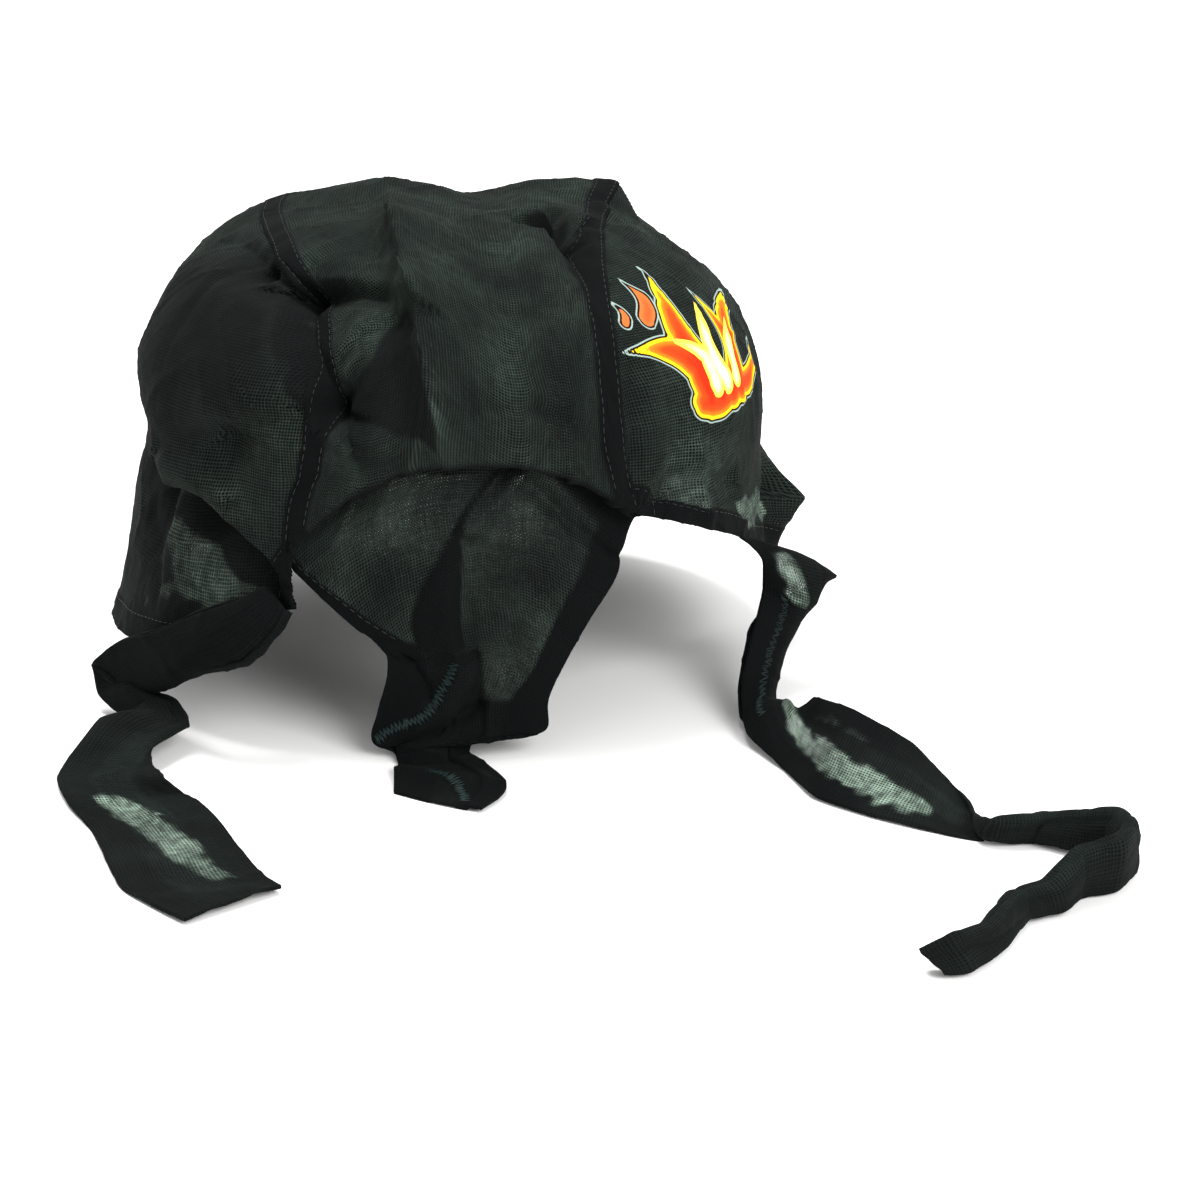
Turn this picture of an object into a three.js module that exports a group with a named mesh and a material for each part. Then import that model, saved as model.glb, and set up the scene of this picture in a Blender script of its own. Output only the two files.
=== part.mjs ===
// Bandana cap: a thin cotton crown in three panels, a cloth tail and two tie straps,
// standing as worn, with the tail and the ties left to hang.
// Millimetres, +Z up, +Y towards the wearer's front, +X towards the wearer's right.
// The origin is the inner top of the crown, where a head rests.
import * as THREE from 'three';

// Sizes of the cloth
const WALL = 1.2;
const HEM_WALL = 2.2;
const SEAM_WALL = 1.9;
const SEAM_BAND = 6.4;
const PANEL_GAP = 0.7;
const STRAP_WIDTH = 32;
const FOLD_HALF = 2.4;
const FLOOR = -141.3;

// The crown as an egg-like solid about a centre inside the head
const CENTRE = [0, 0, -58];
const HALF_WIDTH = 95;
const HALF_BACK = 94;
const HALF_FRONT = 98;
const RISE = 58;
const DROP = 260;
const SQUARENESS = 2.4;

// Folds and dents. Each runs between two places on a map of the crown, in degrees from the top:
// first to the wearer's right, then to the front. Its rise is in mm at both ends, its reach in degrees
// on the left and on the right of the way it runs, and sharp says how crisp its line is.
const FOLDS = [
  { name: 'crown ridge top', from: [-24, 24], to: [-11, -26], rise: [2.5, 4], reach: [10, 22], sharp: 1 },
  { name: 'crown ridge middle', from: [-11, -26], to: [-6, -55], rise: [4, 6], reach: [8, 24], sharp: 1 },
  { name: 'crown ridge foot', from: [-6, -55], to: [2, -83], rise: [6, 2], reach: [7, 20], sharp: 1 },
  { name: 'dent side', from: [-31, -49], to: [-21, -76], rise: [-5, -4], reach: [4, 14], sharp: 1 },
  { name: 'dent ledge', from: [-30, -51], to: [-8, -57], rise: [-4, -4], reach: [13, 4], sharp: 1 },
  { name: 'dent foot', from: [-8, -58], to: [-20, -76], rise: [-3, -4], reach: [6, 6], sharp: 1 },
  { name: 'seam ridge', from: [-35, -50], to: [-27, -74], rise: [2.5, 2], reach: [14, 4], sharp: 0.6 },
  { name: 'left crease top', from: [-54, -1], to: [-41, -37], rise: [-2, -3], reach: [8, 8], sharp: 0.8 },
  { name: 'left crease foot', from: [-41, -37], to: [-31, -49], rise: [-3, -5], reach: [7, 5], sharp: 0.9 },
  { name: 'left cheek', from: [-56, -52], to: [-38, -66], rise: [0.5, 3], reach: [18, 12], sharp: 0 },
  { name: 'left shelf', from: [-76, -56], to: [-26, -78], rise: [-2.5, -2], reach: [16, 5], sharp: 0.8 },
  { name: 'left shoulder', from: [-46, 22], to: [-22, 18], rise: [2, 2], reach: [20, 20], sharp: 0 },
  { name: 'right groove top', from: [30, -8], to: [34, -30], rise: [-4.5, -4.5], reach: [8, 5], sharp: 0.9 },
  { name: 'right groove foot', from: [34, -30], to: [33, -49], rise: [-4.5, -2], reach: [9, 4], sharp: 0.9 },
  { name: 'right slope', from: [25, -54], to: [15, -74], rise: [-2, -1.5], reach: [10, 10], sharp: 0.6 },
  { name: 'top saddle', from: [2, 54], to: [14, 0], rise: [-5, -3.5], reach: [15, 15], sharp: 0.2 },
  { name: 'top right hump', from: [26, 30], to: [41, 20], rise: [2.5, 6], reach: [14, 6], sharp: 0.5 },
  { name: 'left side slack', from: [-78, 10], to: [-84, -40], rise: [-2.5, -3], reach: [30, 26], sharp: 0 },
  { name: 'left waist', from: [-100, 24], to: [-86, -50], rise: [-4, -4], reach: [18, 16], sharp: 0 },
  { name: 'right side slack', from: [58, 30], to: [72, -20], rise: [-4.5, -1.5], reach: [20, 24], sharp: 0 },
  { name: 'waist fold', from: [-80, -56], to: [-66, -83], rise: [-2.5, -4], reach: [3, 8], sharp: 1 },
  { name: 'waist fold foot', from: [-66, -83], to: [-48, -97], rise: [-4, -4], reach: [3, 8], sharp: 1 },
  { name: 'right flap', from: [107, 26], to: [108, 4], rise: [8, 16], reach: [7, 15], sharp: 1 },
  { name: 'brow left', from: [-30, 60], to: [-34, 100], rise: [1.5, 2.5], reach: [16, 12], sharp: 0.3 },
  { name: 'brow right', from: [12, 66], to: [16, 104], rise: [-1.5, -2.5], reach: [14, 16], sharp: 0.3 },
];

// Height of the rim round the head. Turn in degrees from the back, positive to the wearer's right.
const RIM = [
  { turn: -180, z: -116 },
  { turn: -153, z: -116 },
  { turn: -120, z: -124 },
  { turn: -90, z: -128 },
  { turn: -64, z: -121 },
  { turn: -47, z: -115 },
  { turn: -36, z: -108 },
  { turn: -26, z: -99 },
  { turn: 26, z: -90 },
  { turn: 36, z: -75 },
  { turn: 45, z: -79 },
  { turn: 60, z: -88 },
  { turn: 75, z: -101 },
  { turn: 90, z: -110 },
  { turn: 120, z: -113 },
  { turn: 153, z: -116 },
  { turn: 180, z: -116 },
];

// How far the cloth stands out below the waist of the crown
const FLARE_TOP = -90;
const FLARE_SPAN = 35;
const FLARE = [
  { turn: -180, out: 2 },
  { turn: -120, out: 4 },
  { turn: -100, out: 9 },
  { turn: -80, out: 9 },
  { turn: -62, out: 7 },
  { turn: -45, out: 3 },
  { turn: -25, out: 0 },
  { turn: 40, out: 0 },
  { turn: 70, out: 4 },
  { turn: 88, out: 9 },
  { turn: 100, out: 9 },
  { turn: 120, out: 5 },
  { turn: 180, out: 2 },
];

// The two seams. Rise is the angle over the top from the level back, 90 at the crown, to the front rim.
const SEAMS = [
  { rise: -20, left: -41, right: 60 },
  { rise: -8, left: -40, right: 57 },
  { rise: 5, left: -34, right: 53 },
  { rise: 18, left: -32, right: 51.5 },
  { rise: 30, left: -36, right: 49.5 },
  { rise: 45, left: -43, right: 47.5 },
  { rise: 70, left: -50, right: 47 },
  { rise: 95, left: -54, right: 48 },
  { rise: 130, left: -53, right: 47 },
  { rise: 180, left: -46, right: 45 },
  { rise: 220, left: -44, right: 44 },
];
const FRONT_RISE = 211;
const LEFT_END_RISE = -12.5;
const RIGHT_END_RISE = -9.4;

// The arch at the back, from seam to seam
const ARCH = [
  { x: -41, rise: -12.5 },
  { x: -30, rise: -6.2 },
  { x: -19, rise: -0.5 },
  { x: -8, rise: 2.2 },
  { x: 0, rise: 3.6 },
  { x: 12.5, rise: 4.2 },
  { x: 25, rise: 3.7 },
  { x: 35.5, rise: 1.5 },
  { x: 44, rise: -0.8 },
  { x: 52, rise: -5 },
  { x: 58.4, rise: -9.4 },
];
const LIP_RADIUS = 2.6;
const LIP_TURNS = [40, 85, 130, 175];
const LIP_DRAW = 1.2;

// The tail, section by section down from under the arch: its left and right edges, how far the middle
// sags and stands back, and the height and place of the pleat.
const TAIL = [
  { l: [-41, -79, -79.5], r: [57.5, -72.5, -72], sag: -22, out: 7.5, pleat: 0.5, at: 0.6 },
  { l: [-40.6, -81, -84.3], r: [52.6, -76, -81.3], sag: -15, out: 8, pleat: 1.5, at: 0.58 },
  { l: [-36.4, -83, -89.5], r: [51.3, -79, -89.7], sag: -7, out: 6, pleat: 2.5, at: 0.52 },
  { l: [-26.6, -85, -98.6], r: [44.3, -82, -100.9], sag: -1, out: 4, pleat: 3, at: 0.48 },
  { l: [-15.1, -86, -109], r: [37.5, -84, -112.8], sag: 2, out: 3, pleat: 3, at: 0.46 },
  { l: [-13.2, -87, -115.8], r: [32.1, -86, -124.1], sag: 3, out: 2, pleat: 2, at: 0.46 },
  { l: [-16.3, -88, -127.5], r: [31, -87, -133.4], sag: 2, out: 3, pleat: 1, at: 0.46 },
  { l: [-17.6, -89, -136.3], r: [20, -90, -134.6], sag: 0, out: 4, pleat: 0.5, at: 0.46 },
  { l: [-11, -92, -140], r: [8.9, -95, -138.6], sag: -1, out: 3, pleat: 0, at: 0.46 },
  { l: [-10.5, -98.8, -140], r: [14.6, -98.8, -140], sag: -0.5, out: 3, pleat: 0, at: 0.46 },
  { l: [-10.2, -108.6, -140], r: [20.3, -111.3, -140], sag: 0, out: 9, pleat: 0, at: 0.46 },
];

// The tie straps, section by section: both visible edges, how far the strap is folded lengthwise
// (0 open, 1 folded in half) and which way it bulges.
const TIE_LEFT = [
  { a: [-46.3, -90, -89.1], b: [-40, -92, -95.5], fold: 1, side: 1 },
  { a: [-53.6, -91, -92.9], b: [-43.1, -94, -101.2], fold: 1, side: 1 },
  { a: [-64.8, -87, -97.9], b: [-51.9, -93, -111.1], fold: 1, side: 1 },
  { a: [-78.8, -75, -107.5], b: [-65.5, -85, -117.2], fold: 1, side: 1 },
  { a: [-92.3, -61, -116.1], b: [-77.4, -72, -127.3], fold: 1, side: 1 },
  { a: [-101.9, -51, -127], b: [-86.4, -61, -133.1], fold: 1, side: 1 },
  { a: [-100.2, -54, -135.8], b: [-84.8, -66, -129.7], fold: 1, side: 1 },
  { a: [-93.5, -62, -139], b: [-76.1, -74, -129.6], fold: 1, side: 1 },
  { a: [-90.9, -74, -137.5], b: [-69.8, -84, -133.5], fold: 0.8, side: 1 },
  { a: [-94.8, -86, -131], b: [-70.3, -94, -137.2], fold: 0.5, side: 1 },
  { a: [-103.8, -105.6, -139.6], b: [-72.5, -116.8, -134.6], fold: 0, side: 0.3 },
  { a: [-97.9, -123.4, -140], b: [-65.9, -119, -139.6], fold: 0, side: 0.1 },
  { a: [-88.7, -139.6, -140], b: [-58.7, -128.6, -140], fold: 0, side: 0.1 },
  { a: [-75, -175.4, -140], b: [-35.3, -170.7, -140], fold: 0, side: 0.1 },
  { a: [-53.5, -195.7, -140], b: [-47.1, -195.2, -140], fold: 0, side: 0.1 },
];

const TIE_RIGHT = [
  { a: [87.6, -50, -88.1], b: [98.7, -22, -100.7], fold: 0, side: 0.3 },
  { a: [94, -42, -98.2], b: [117.9, -26, -108.9], fold: 0, side: 1 },
  { a: [94.1, -38, -109], b: [110.1, -30, -119.5], fold: 0.6, side: 1 },
  { a: [90.7, -46, -119.3], b: [101.9, -38, -126.4], fold: 1, side: 1 },
  { a: [87.4, -58, -130.4], b: [99.1, -52, -132.1], fold: 1, side: 1 },
  { a: [87.3, -68, -136], b: [98.2, -60, -135.3], fold: 1, side: 1 },
  { a: [88.7, -80.5, -138.4], b: [103.1, -68, -132.6], fold: 0.6, side: 1 },
  { a: [97.4, -98.1, -140], b: [108.4, -69.8, -130.6], fold: 0, side: 0.1 },
  { a: [105, -118, -140], b: [116.9, -93.1, -124.5], fold: 0, side: 0.1 },
  { a: [118.7, -129.9, -140], b: [132.9, -103.2, -130.3], fold: 0, side: 0.1 },
  { a: [132, -138.3, -140], b: [139.3, -107.5, -135.7], fold: 0, side: 0.1 },
  { a: [140.6, -142.2, -140], b: [146.9, -123.2, -138.6], fold: 0.1, side: -0.5 },
  { a: [147.8, -145.9, -140], b: [150, -148.6, -133], fold: 0.8, side: -1 },
  { a: [159.9, -144.6, -140], b: [163.5, -147.6, -132.6], fold: 1, side: -1 },
  { a: [170.3, -150.9, -140], b: [171.8, -154.1, -129.1], fold: 1, side: -1 },
  { a: [179.9, -156.4, -140], b: [179.3, -160.7, -126.1], fold: 1, side: -1 },
  { a: [182.8, -164.8, -140], b: [181.1, -170.2, -124.6], fold: 1, side: -1 },
  { a: [176.6, -175.4, -140], b: [176.2, -180.8, -123.6], fold: 1, side: -1 },
  { a: [166.9, -178.9, -140], b: [166.3, -183.6, -125.6], fold: 1, side: -1 },
  { a: [161, -188, -140], b: [157.6, -187.9, -132.6], fold: 1, side: -1 },
  { a: [151.9, -192.4, -140], b: [148.9, -191.6, -133.6], fold: 1, side: -1 },
  { a: [144, -207.1, -140], b: [139.7, -209.1, -133.1], fold: 1, side: -1 },
  { a: [134.7, -219.2, -140], b: [130, -219, -131.6], fold: 1, side: -1 },
  { a: [128.7, -221.2, -140], b: [122.8, -219, -135.6], fold: 0.9, side: -1 },
];

// Small vector helpers
const DEG = Math.PI / 180;
const add = (a, b) => [a[0] + b[0], a[1] + b[1], a[2] + b[2]];
const sub = (a, b) => [a[0] - b[0], a[1] - b[1], a[2] - b[2]];
const times = (a, k) => [a[0] * k, a[1] * k, a[2] * k];
const size = (a) => Math.hypot(a[0], a[1], a[2]);
const unit = (a) => times(a, 1 / Math.max(size(a), 1e-9));
const clamp = (v, lo, hi) => Math.min(Math.max(v, lo), hi);
const mix = (a, b, t) => a + (b - a) * t;

function cross(a, b) {
  return [a[1] * b[2] - a[2] * b[1], a[2] * b[0] - a[0] * b[2], a[0] * b[1] - a[1] * b[0]];
}

// Straight-line reading of a table between its rows
function readTable(table, key, value, at) {
  if (at <= table[0][key]) return table[0][value];
  for (let i = 1; i < table.length; i++) {
    const p = table[i - 1];
    const q = table[i];
    if (at <= q[key]) return mix(p[value], q[value], (at - p[key]) / (q[key] - p[key]));
  }
  return table[table.length - 1][value];
}

// Distance from the centre to the unfolded crown along a direction
function baseRadius(d) {
  const ay = d[1] < 0 ? HALF_BACK : HALF_FRONT;
  const az = d[2] > 0 ? RISE : DROP;
  const sum = Math.abs(d[0] / HALF_WIDTH) ** SQUARENESS
    + Math.abs(d[1] / ay) ** SQUARENESS
    + Math.abs(d[2] / az) ** SQUARENESS;
  return sum ** (-1 / SQUARENESS);
}

// Height of all folds and dents at a place on the crown map
function foldHeight(mx, my) {
  let height = 0;
  for (const f of FOLDS) {
    const dx = f.to[0] - f.from[0];
    const dy = f.to[1] - f.from[1];
    const rx = mx - f.from[0];
    const ry = my - f.from[1];
    const t = clamp((rx * dx + ry * dy) / (dx * dx + dy * dy), 0, 1);
    const dist = Math.hypot(rx - t * dx, ry - t * dy);
    const reach = f.reach[rx * dy - ry * dx > 0 ? 0 : 1];
    const u = Math.min(dist / reach, 1);
    const shape = f.sharp * (1 - u) ** 1.6 + (1 - f.sharp) * (1 - u * u) ** 2;
    height += mix(f.rise[0], f.rise[1], t) * shape;
  }
  return height;
}

// Middle of the cloth along a direction from the centre
function crownPoint(d) {
  const h = Math.hypot(d[0], d[1]);
  const beta = Math.atan2(h, d[2]) / DEG;
  const k = beta / Math.max(h, 1e-9);
  const r = baseRadius(d) + foldHeight(d[0] * k, d[1] * k);
  const p = add(CENTRE, times(d, r));
  const turn = Math.atan2(d[0], -d[1]) / DEG;
  const below = clamp((FLARE_TOP - p[2]) / FLARE_SPAN, 0, 1.3) ** 1.5;
  const out = readTable(FLARE, 'turn', 'out', turn) * below / Math.max(h, 1e-6);
  return [p[0] + d[0] * out, p[1] + d[1] * out, p[2]];
}

// Outward direction of the cloth there
function crownNormal(d) {
  const side = unit(Math.abs(d[2]) > 0.9 ? cross(d, [0, 1, 0]) : cross([0, 0, 1], d));
  const up = cross(d, side);
  const e = 0.012;
  const du = sub(crownPoint(unit(add(d, times(side, e)))), crownPoint(unit(sub(d, times(side, e)))));
  const dv = sub(crownPoint(unit(add(d, times(up, e)))), crownPoint(unit(sub(d, times(up, e)))));
  return unit(cross(du, dv));
}

// Direction of the place at a distance across and an angle over the crown
function stripDirection(x, rise) {
  const cy = -Math.cos(rise * DEG);
  const cz = Math.sin(rise * DEG);
  const ay = cy < 0 ? HALF_BACK : HALF_FRONT;
  const az = cz > 0 ? RISE : DROP;
  const k = Math.max(1 - Math.abs(x / HALF_WIDTH) ** SQUARENESS, 1e-9);
  const sum = Math.abs(cy / ay) ** SQUARENESS + Math.abs(cz / az) ** SQUARENESS;
  const rho = (k / sum) ** (1 / SQUARENESS);
  return unit([x, rho * cy, rho * cz]);
}

// Direction of the rim at a turn round the head
function rimDirection(turn) {
  const hx = Math.sin(turn * DEG);
  const hy = -Math.cos(turn * DEG);
  const dz = readTable(RIM, 'turn', 'z', turn) - CENTRE[2];
  const ay = hy < 0 ? HALF_BACK : HALF_FRONT;
  const k = Math.max(1 - Math.abs(dz / DROP) ** SQUARENESS, 1e-9);
  const sum = Math.abs(hx / HALF_WIDTH) ** SQUARENESS + Math.abs(hy / ay) ** SQUARENESS;
  const rho = (k / sum) ** (1 / SQUARENESS);
  return unit([hx * rho, hy * rho, dz]);
}

// Outward direction on a seam itself, the same for the two panels that meet there
function seamNormal(side, rise) {
  return crownNormal(stripDirection(readTable(SEAMS, 'rise', side, rise), rise));
}

// Places along all three panels, so that they meet row for row: few over the front, many over the back
const FRONT_ROWS = 10;
const BACK_ROWS = 28;
const SPLIT = 0.42;

function panelSteps() {
  const steps = [];
  for (let i = 0; i < FRONT_ROWS; i++) steps.push(SPLIT * i / FRONT_ROWS);
  for (let i = 0; i <= BACK_ROWS; i++) steps.push(SPLIT + (1 - SPLIT) * i / BACK_ROWS);
  return steps;
}

// Place across the centre panel, with one column inside each seam band
function acrossPlace(j, across, band) {
  if (j === 0) return 0;
  if (j === across) return 1;
  if (j === 1) return band;
  if (j === across - 1) return 1 - band;
  return mix(band * 1.12, 1 - band * 1.12, (j - 2) / (across - 4));
}

function stripX(rise, j, across) {
  const xl = readTable(SEAMS, 'rise', 'left', rise) + PANEL_GAP / 2;
  const xr = readTable(SEAMS, 'rise', 'right', rise) - PANEL_GAP / 2;
  return mix(xl, xr, acrossPlace(j, across, SEAM_BAND / (xr - xl)));
}

// A sheet holds points, outward directions and half thicknesses, row by row
function centerPanelSheet() {
  const across = 20;
  const ends = [];
  for (let j = 0; j <= across; j++) {
    let rise = 0;
    for (let k = 0; k < 6; k++) rise = readTable(ARCH, 'x', 'rise', stripX(rise, j, across));
    if (j === 0) rise = LEFT_END_RISE;
    if (j === across) rise = RIGHT_END_RISE;
    ends.push(rise);
  }
  const sheet = panelSteps().map((t) => ends.map((end, j) => {
    const rise = mix(FRONT_RISE, end, t);
    const d = stripDirection(stripX(rise, j, across), rise);
    const hem = t < 0.03 ? HEM_WALL : WALL;
    const wall = j < 2 || j > across - 2 ? Math.max(hem, SEAM_WALL) : hem;
    const n = j === 0 ? seamNormal('left', rise) : j === across ? seamNormal('right', rise) : crownNormal(d);
    return { p: crownPoint(d), n, h: wall / 2 };
  }));
  return addLip(sheet);
}

// The lower edge of the arch is rolled under, drawn in a little from the two seams
function addLip(sheet) {
  const last = sheet[sheet.length - 1];
  const before = sheet[sheet.length - 2];
  for (const turn of LIP_TURNS) {
    sheet.push(last.map((v, j) => {
      const way = sub(v.p, before[j].p);
      const down = unit([0, way[1], way[2]]);
      const n = unit(sub(v.n, times(down, v.n[0] * down[0] + v.n[1] * down[1] + v.n[2] * down[2])));
      const c = Math.cos(turn * DEG);
      const s = Math.sin(turn * DEG);
      const p = add(v.p, add(times(n, -LIP_RADIUS * (1 - c)), times(down, LIP_RADIUS * s)));
      p[0] += LIP_DRAW * (1 - 2 * j / (last.length - 1));
      return { p, n: add(times(n, c), times(down, s)), h: v.h };
    }));
  }
  return sheet;
}

function sidePanelSheet(side) {
  const steps = [0, 0.06, 0.15, 0.25, 0.35, 0.45, 0.55, 0.65, 0.74, 0.82, 0.89, 0.925, 1];
  const end = side < 0 ? LEFT_END_RISE : RIGHT_END_RISE;
  const seam = side < 0 ? 'left' : 'right';
  const sheet = panelSteps().map((t) => {
    const rise = mix(FRONT_RISE, end, t);
    const x = readTable(SEAMS, 'rise', seam, rise) + side * PANEL_GAP / 2;
    return { t, rise, d: stripDirection(x, rise) };
  });
  const first = Math.atan2(sheet[0].d[0], -sheet[0].d[1]) / DEG;
  const final = Math.atan2(sheet[sheet.length - 1].d[0], -sheet[sheet.length - 1].d[1]) / DEG;
  const grid = sheet.map((row) => {
    const low = rimDirection(mix(first, final, row.t));
    return steps.map((w) => {
      const d = unit(add(times(row.d, 1 - w), times(low, w)));
      const wall = w > 0.92 ? HEM_WALL : WALL;
      const n = w === 0 ? seamNormal(seam, row.rise) : crownNormal(d);
      return { p: crownPoint(d), n, h: wall / 2 };
    });
  });
  return side < 0 ? grid.map((row) => row.slice().reverse()) : grid;
}

// A smooth run of numbers through the rows of a table
function smoothRows(rows, steps) {
  const out = [];
  for (let i = 0; i < rows.length - 1; i++) {
    const p0 = rows[Math.max(i - 1, 0)];
    const p1 = rows[i];
    const p2 = rows[i + 1];
    const p3 = rows[Math.min(i + 2, rows.length - 1)];
    for (let k = 0; k < steps; k++) {
      const u = k / steps;
      out.push(p1.map((v, c) => 0.5 * (2 * v + (p2[c] - p0[c]) * u
        + (2 * p0[c] - 5 * v + 4 * p2[c] - p3[c]) * u * u
        + (3 * v - p0[c] - 3 * p2[c] + p3[c]) * u ** 3)));
    }
  }
  out.push(rows[rows.length - 1]);
  return out;
}

// Outward directions of a plain grid of points
function gridSheet(points, half) {
  const rows = points.length;
  const cols = points[0].length;
  return points.map((row, i) => row.map((p, j) => {
    const du = sub(points[Math.min(i + 1, rows - 1)][j], points[Math.max(i - 1, 0)][j]);
    const dv = sub(points[i][Math.min(j + 1, cols - 1)], points[i][Math.max(j - 1, 0)]);
    return { p, n: unit(cross(du, dv)), h: half(i / (rows - 1), j / (cols - 1)) };
  }));
}

function tailSheet() {
  const rows = smoothRows(TAIL.map((r) => [...r.l, ...r.r, r.sag, r.out, r.pleat, r.at]), 2);
  const across = 16;
  const points = rows.map((r) => {
    const line = [];
    for (let j = 0; j <= across; j++) {
      const s = j / across;
      const bow = 4 * s * (1 - s);
      const d = s - r[9];
      const fade = 1 - Math.exp(-((d / 0.03) ** 2));
      const step = (d < 0 ? Math.exp(d / 0.25) : -Math.exp(-d / 0.22)) * fade;
      line.push([
        mix(r[0], r[3], s),
        mix(r[1], r[4], s) - r[7] * bow - r[8] * step,
        Math.max(mix(r[2], r[5], s) - r[6] * bow, FLOOR + 1.15),
      ]);
    }
    return line;
  });
  return gridSheet(points, (t, s) => (s < 0.13 || s > 0.87 || t > 0.72 ? HEM_WALL : WALL) / 2);
}

// How far a strip turns when its ends are nearer than its width
function solveCurl(ratio) {
  let lo = 0.02;
  let hi = 150 * DEG;
  const wanted = clamp(ratio, 0.08, 0.9999);
  for (let k = 0; k < 40; k++) {
    const mid = (lo + hi) / 2;
    if (Math.sin(mid / 2) / (mid / 2) > wanted) lo = mid;
    else hi = mid;
  }
  return lo;
}

function strapSheet(table, steps) {
  const rows = smoothRows(table.map((r) => [...r.a, ...r.b, r.fold, r.side]), steps);
  const across = 6;
  const middle = rows.map((r) => times(add(r.slice(0, 3), r.slice(3, 6)), 0.5));
  const points = rows.map((r, i) => {
    const along = unit(sub(middle[Math.min(i + 1, rows.length - 1)], middle[Math.max(i - 1, 0)]));
    const wide = sub(r.slice(3, 6), r.slice(0, 3));
    const span = size(wide);
    const a = unit(wide);
    const n = unit(cross(along, a));
    const fold = clamp(r[6], 0, 1);
    const curl = solveCurl(span / STRAP_WIDTH);
    const rho = span / (2 * Math.sin(curl / 2));
    const line = [];
    for (let j = 0; j <= across; j++) {
      const k = j / across;
      const th = (k - 0.5) * curl;
      const u0 = rho * Math.sin(th);
      const v0 = rho * (Math.cos(th) - Math.cos(curl / 2)) * r[7];
      const ph = (35 + 290 * k) * DEG;
      const u1 = clamp(-span / 2 * Math.cos(ph) / Math.cos(35 * DEG), -span / 2, span / 2);
      const v1 = FOLD_HALF * Math.sin(ph) * (r[7] >= 0 ? 1 : -1);
      const p = add(middle[i], add(times(a, mix(u0, u1, fold)), times(n, mix(v0, v1, fold))));
      line.push([p[0], p[1], Math.max(p[2], FLOOR + 1.15)]);
    }
    return line;
  });
  return gridSheet(points, (t, s) => (s < 0.2 || s > 0.8 ? 1.6 : WALL) / 2);
}

// A closed wall of cloth from a sheet
function sheetSolid(sheet) {
  const rows = sheet.length;
  const cols = sheet[0].length;
  const positions = [];
  for (const side of [1, -1]) {
    for (const row of sheet) {
      for (const v of row) positions.push(...add(v.p, times(v.n, side * v.h)));
    }
  }
  const top = (i, j) => i * cols + j;
  const low = (i, j) => rows * cols + i * cols + j;
  const index = [];
  const quad = (a, b, c, d) => index.push(a, b, c, a, c, d);
  for (let i = 0; i < rows - 1; i++) {
    for (let j = 0; j < cols - 1; j++) {
      quad(top(i, j), top(i + 1, j), top(i + 1, j + 1), top(i, j + 1));
      quad(low(i, j), low(i, j + 1), low(i + 1, j + 1), low(i + 1, j));
    }
    quad(top(i, 0), low(i, 0), low(i + 1, 0), top(i + 1, 0));
    quad(top(i, cols - 1), top(i + 1, cols - 1), low(i + 1, cols - 1), low(i, cols - 1));
  }
  for (let j = 0; j < cols - 1; j++) {
    quad(top(0, j), top(0, j + 1), low(0, j + 1), low(0, j));
    quad(top(rows - 1, j), low(rows - 1, j), low(rows - 1, j + 1), top(rows - 1, j + 1));
  }
  const geometry = new THREE.BufferGeometry();
  geometry.setAttribute('position', new THREE.Float32BufferAttribute(positions, 3));
  geometry.setIndex(index);
  geometry.computeVertexNormals();
  return geometry;
}

const CLOTH = new THREE.MeshStandardMaterial({ color: 0x1c201f, roughness: 0.9, side: THREE.DoubleSide });

function node(name, sheet) {
  const mesh = new THREE.Mesh(sheetSolid(sheet), CLOTH);
  mesh.name = name;
  return mesh;
}

const group = new THREE.Group();
group.name = 'bandana_cap';
group.add(node('center_panel', centerPanelSheet()));
group.add(node('left_panel', sidePanelSheet(-1)));
group.add(node('right_panel', sidePanelSheet(1)));
group.add(node('tail', tailSheet()));
group.add(node('tie_left', strapSheet(TIE_LEFT, 3)));
group.add(node('tie_right', strapSheet(TIE_RIGHT, 2)));

export default group;
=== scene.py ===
# A thin black cotton bandana cap, seen from behind and a little above, standing as it is worn.
# Tables are in millimetres and degrees in the cap's own frame: +X to the wearer's right, +Y to the front,
# +Z up, with the origin at the inner top of the crown.
import math
import bpy
import numpy as np
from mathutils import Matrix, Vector


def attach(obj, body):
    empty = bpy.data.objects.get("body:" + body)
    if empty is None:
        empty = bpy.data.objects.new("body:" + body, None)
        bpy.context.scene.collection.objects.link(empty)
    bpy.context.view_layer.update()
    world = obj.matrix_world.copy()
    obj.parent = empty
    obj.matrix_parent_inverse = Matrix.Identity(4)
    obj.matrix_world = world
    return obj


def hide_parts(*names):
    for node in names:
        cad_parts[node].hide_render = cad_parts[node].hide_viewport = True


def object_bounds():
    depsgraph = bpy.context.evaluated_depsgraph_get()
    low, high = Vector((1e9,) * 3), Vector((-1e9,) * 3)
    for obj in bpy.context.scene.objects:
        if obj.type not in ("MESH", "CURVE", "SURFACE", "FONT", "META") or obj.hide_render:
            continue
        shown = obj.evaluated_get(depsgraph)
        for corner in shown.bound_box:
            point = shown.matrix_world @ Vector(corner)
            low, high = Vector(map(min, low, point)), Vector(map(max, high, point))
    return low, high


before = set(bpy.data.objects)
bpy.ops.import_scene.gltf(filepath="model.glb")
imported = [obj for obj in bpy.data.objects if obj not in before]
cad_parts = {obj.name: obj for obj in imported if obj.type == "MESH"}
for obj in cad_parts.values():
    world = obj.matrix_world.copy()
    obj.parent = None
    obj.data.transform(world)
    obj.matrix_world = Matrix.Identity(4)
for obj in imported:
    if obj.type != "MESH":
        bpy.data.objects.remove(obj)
cadLow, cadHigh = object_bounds()
cadBox = [list(cadLow), list(cadHigh)]
mm = 0.001
deg = math.pi / 180
print("stage: frame loaded")


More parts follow.
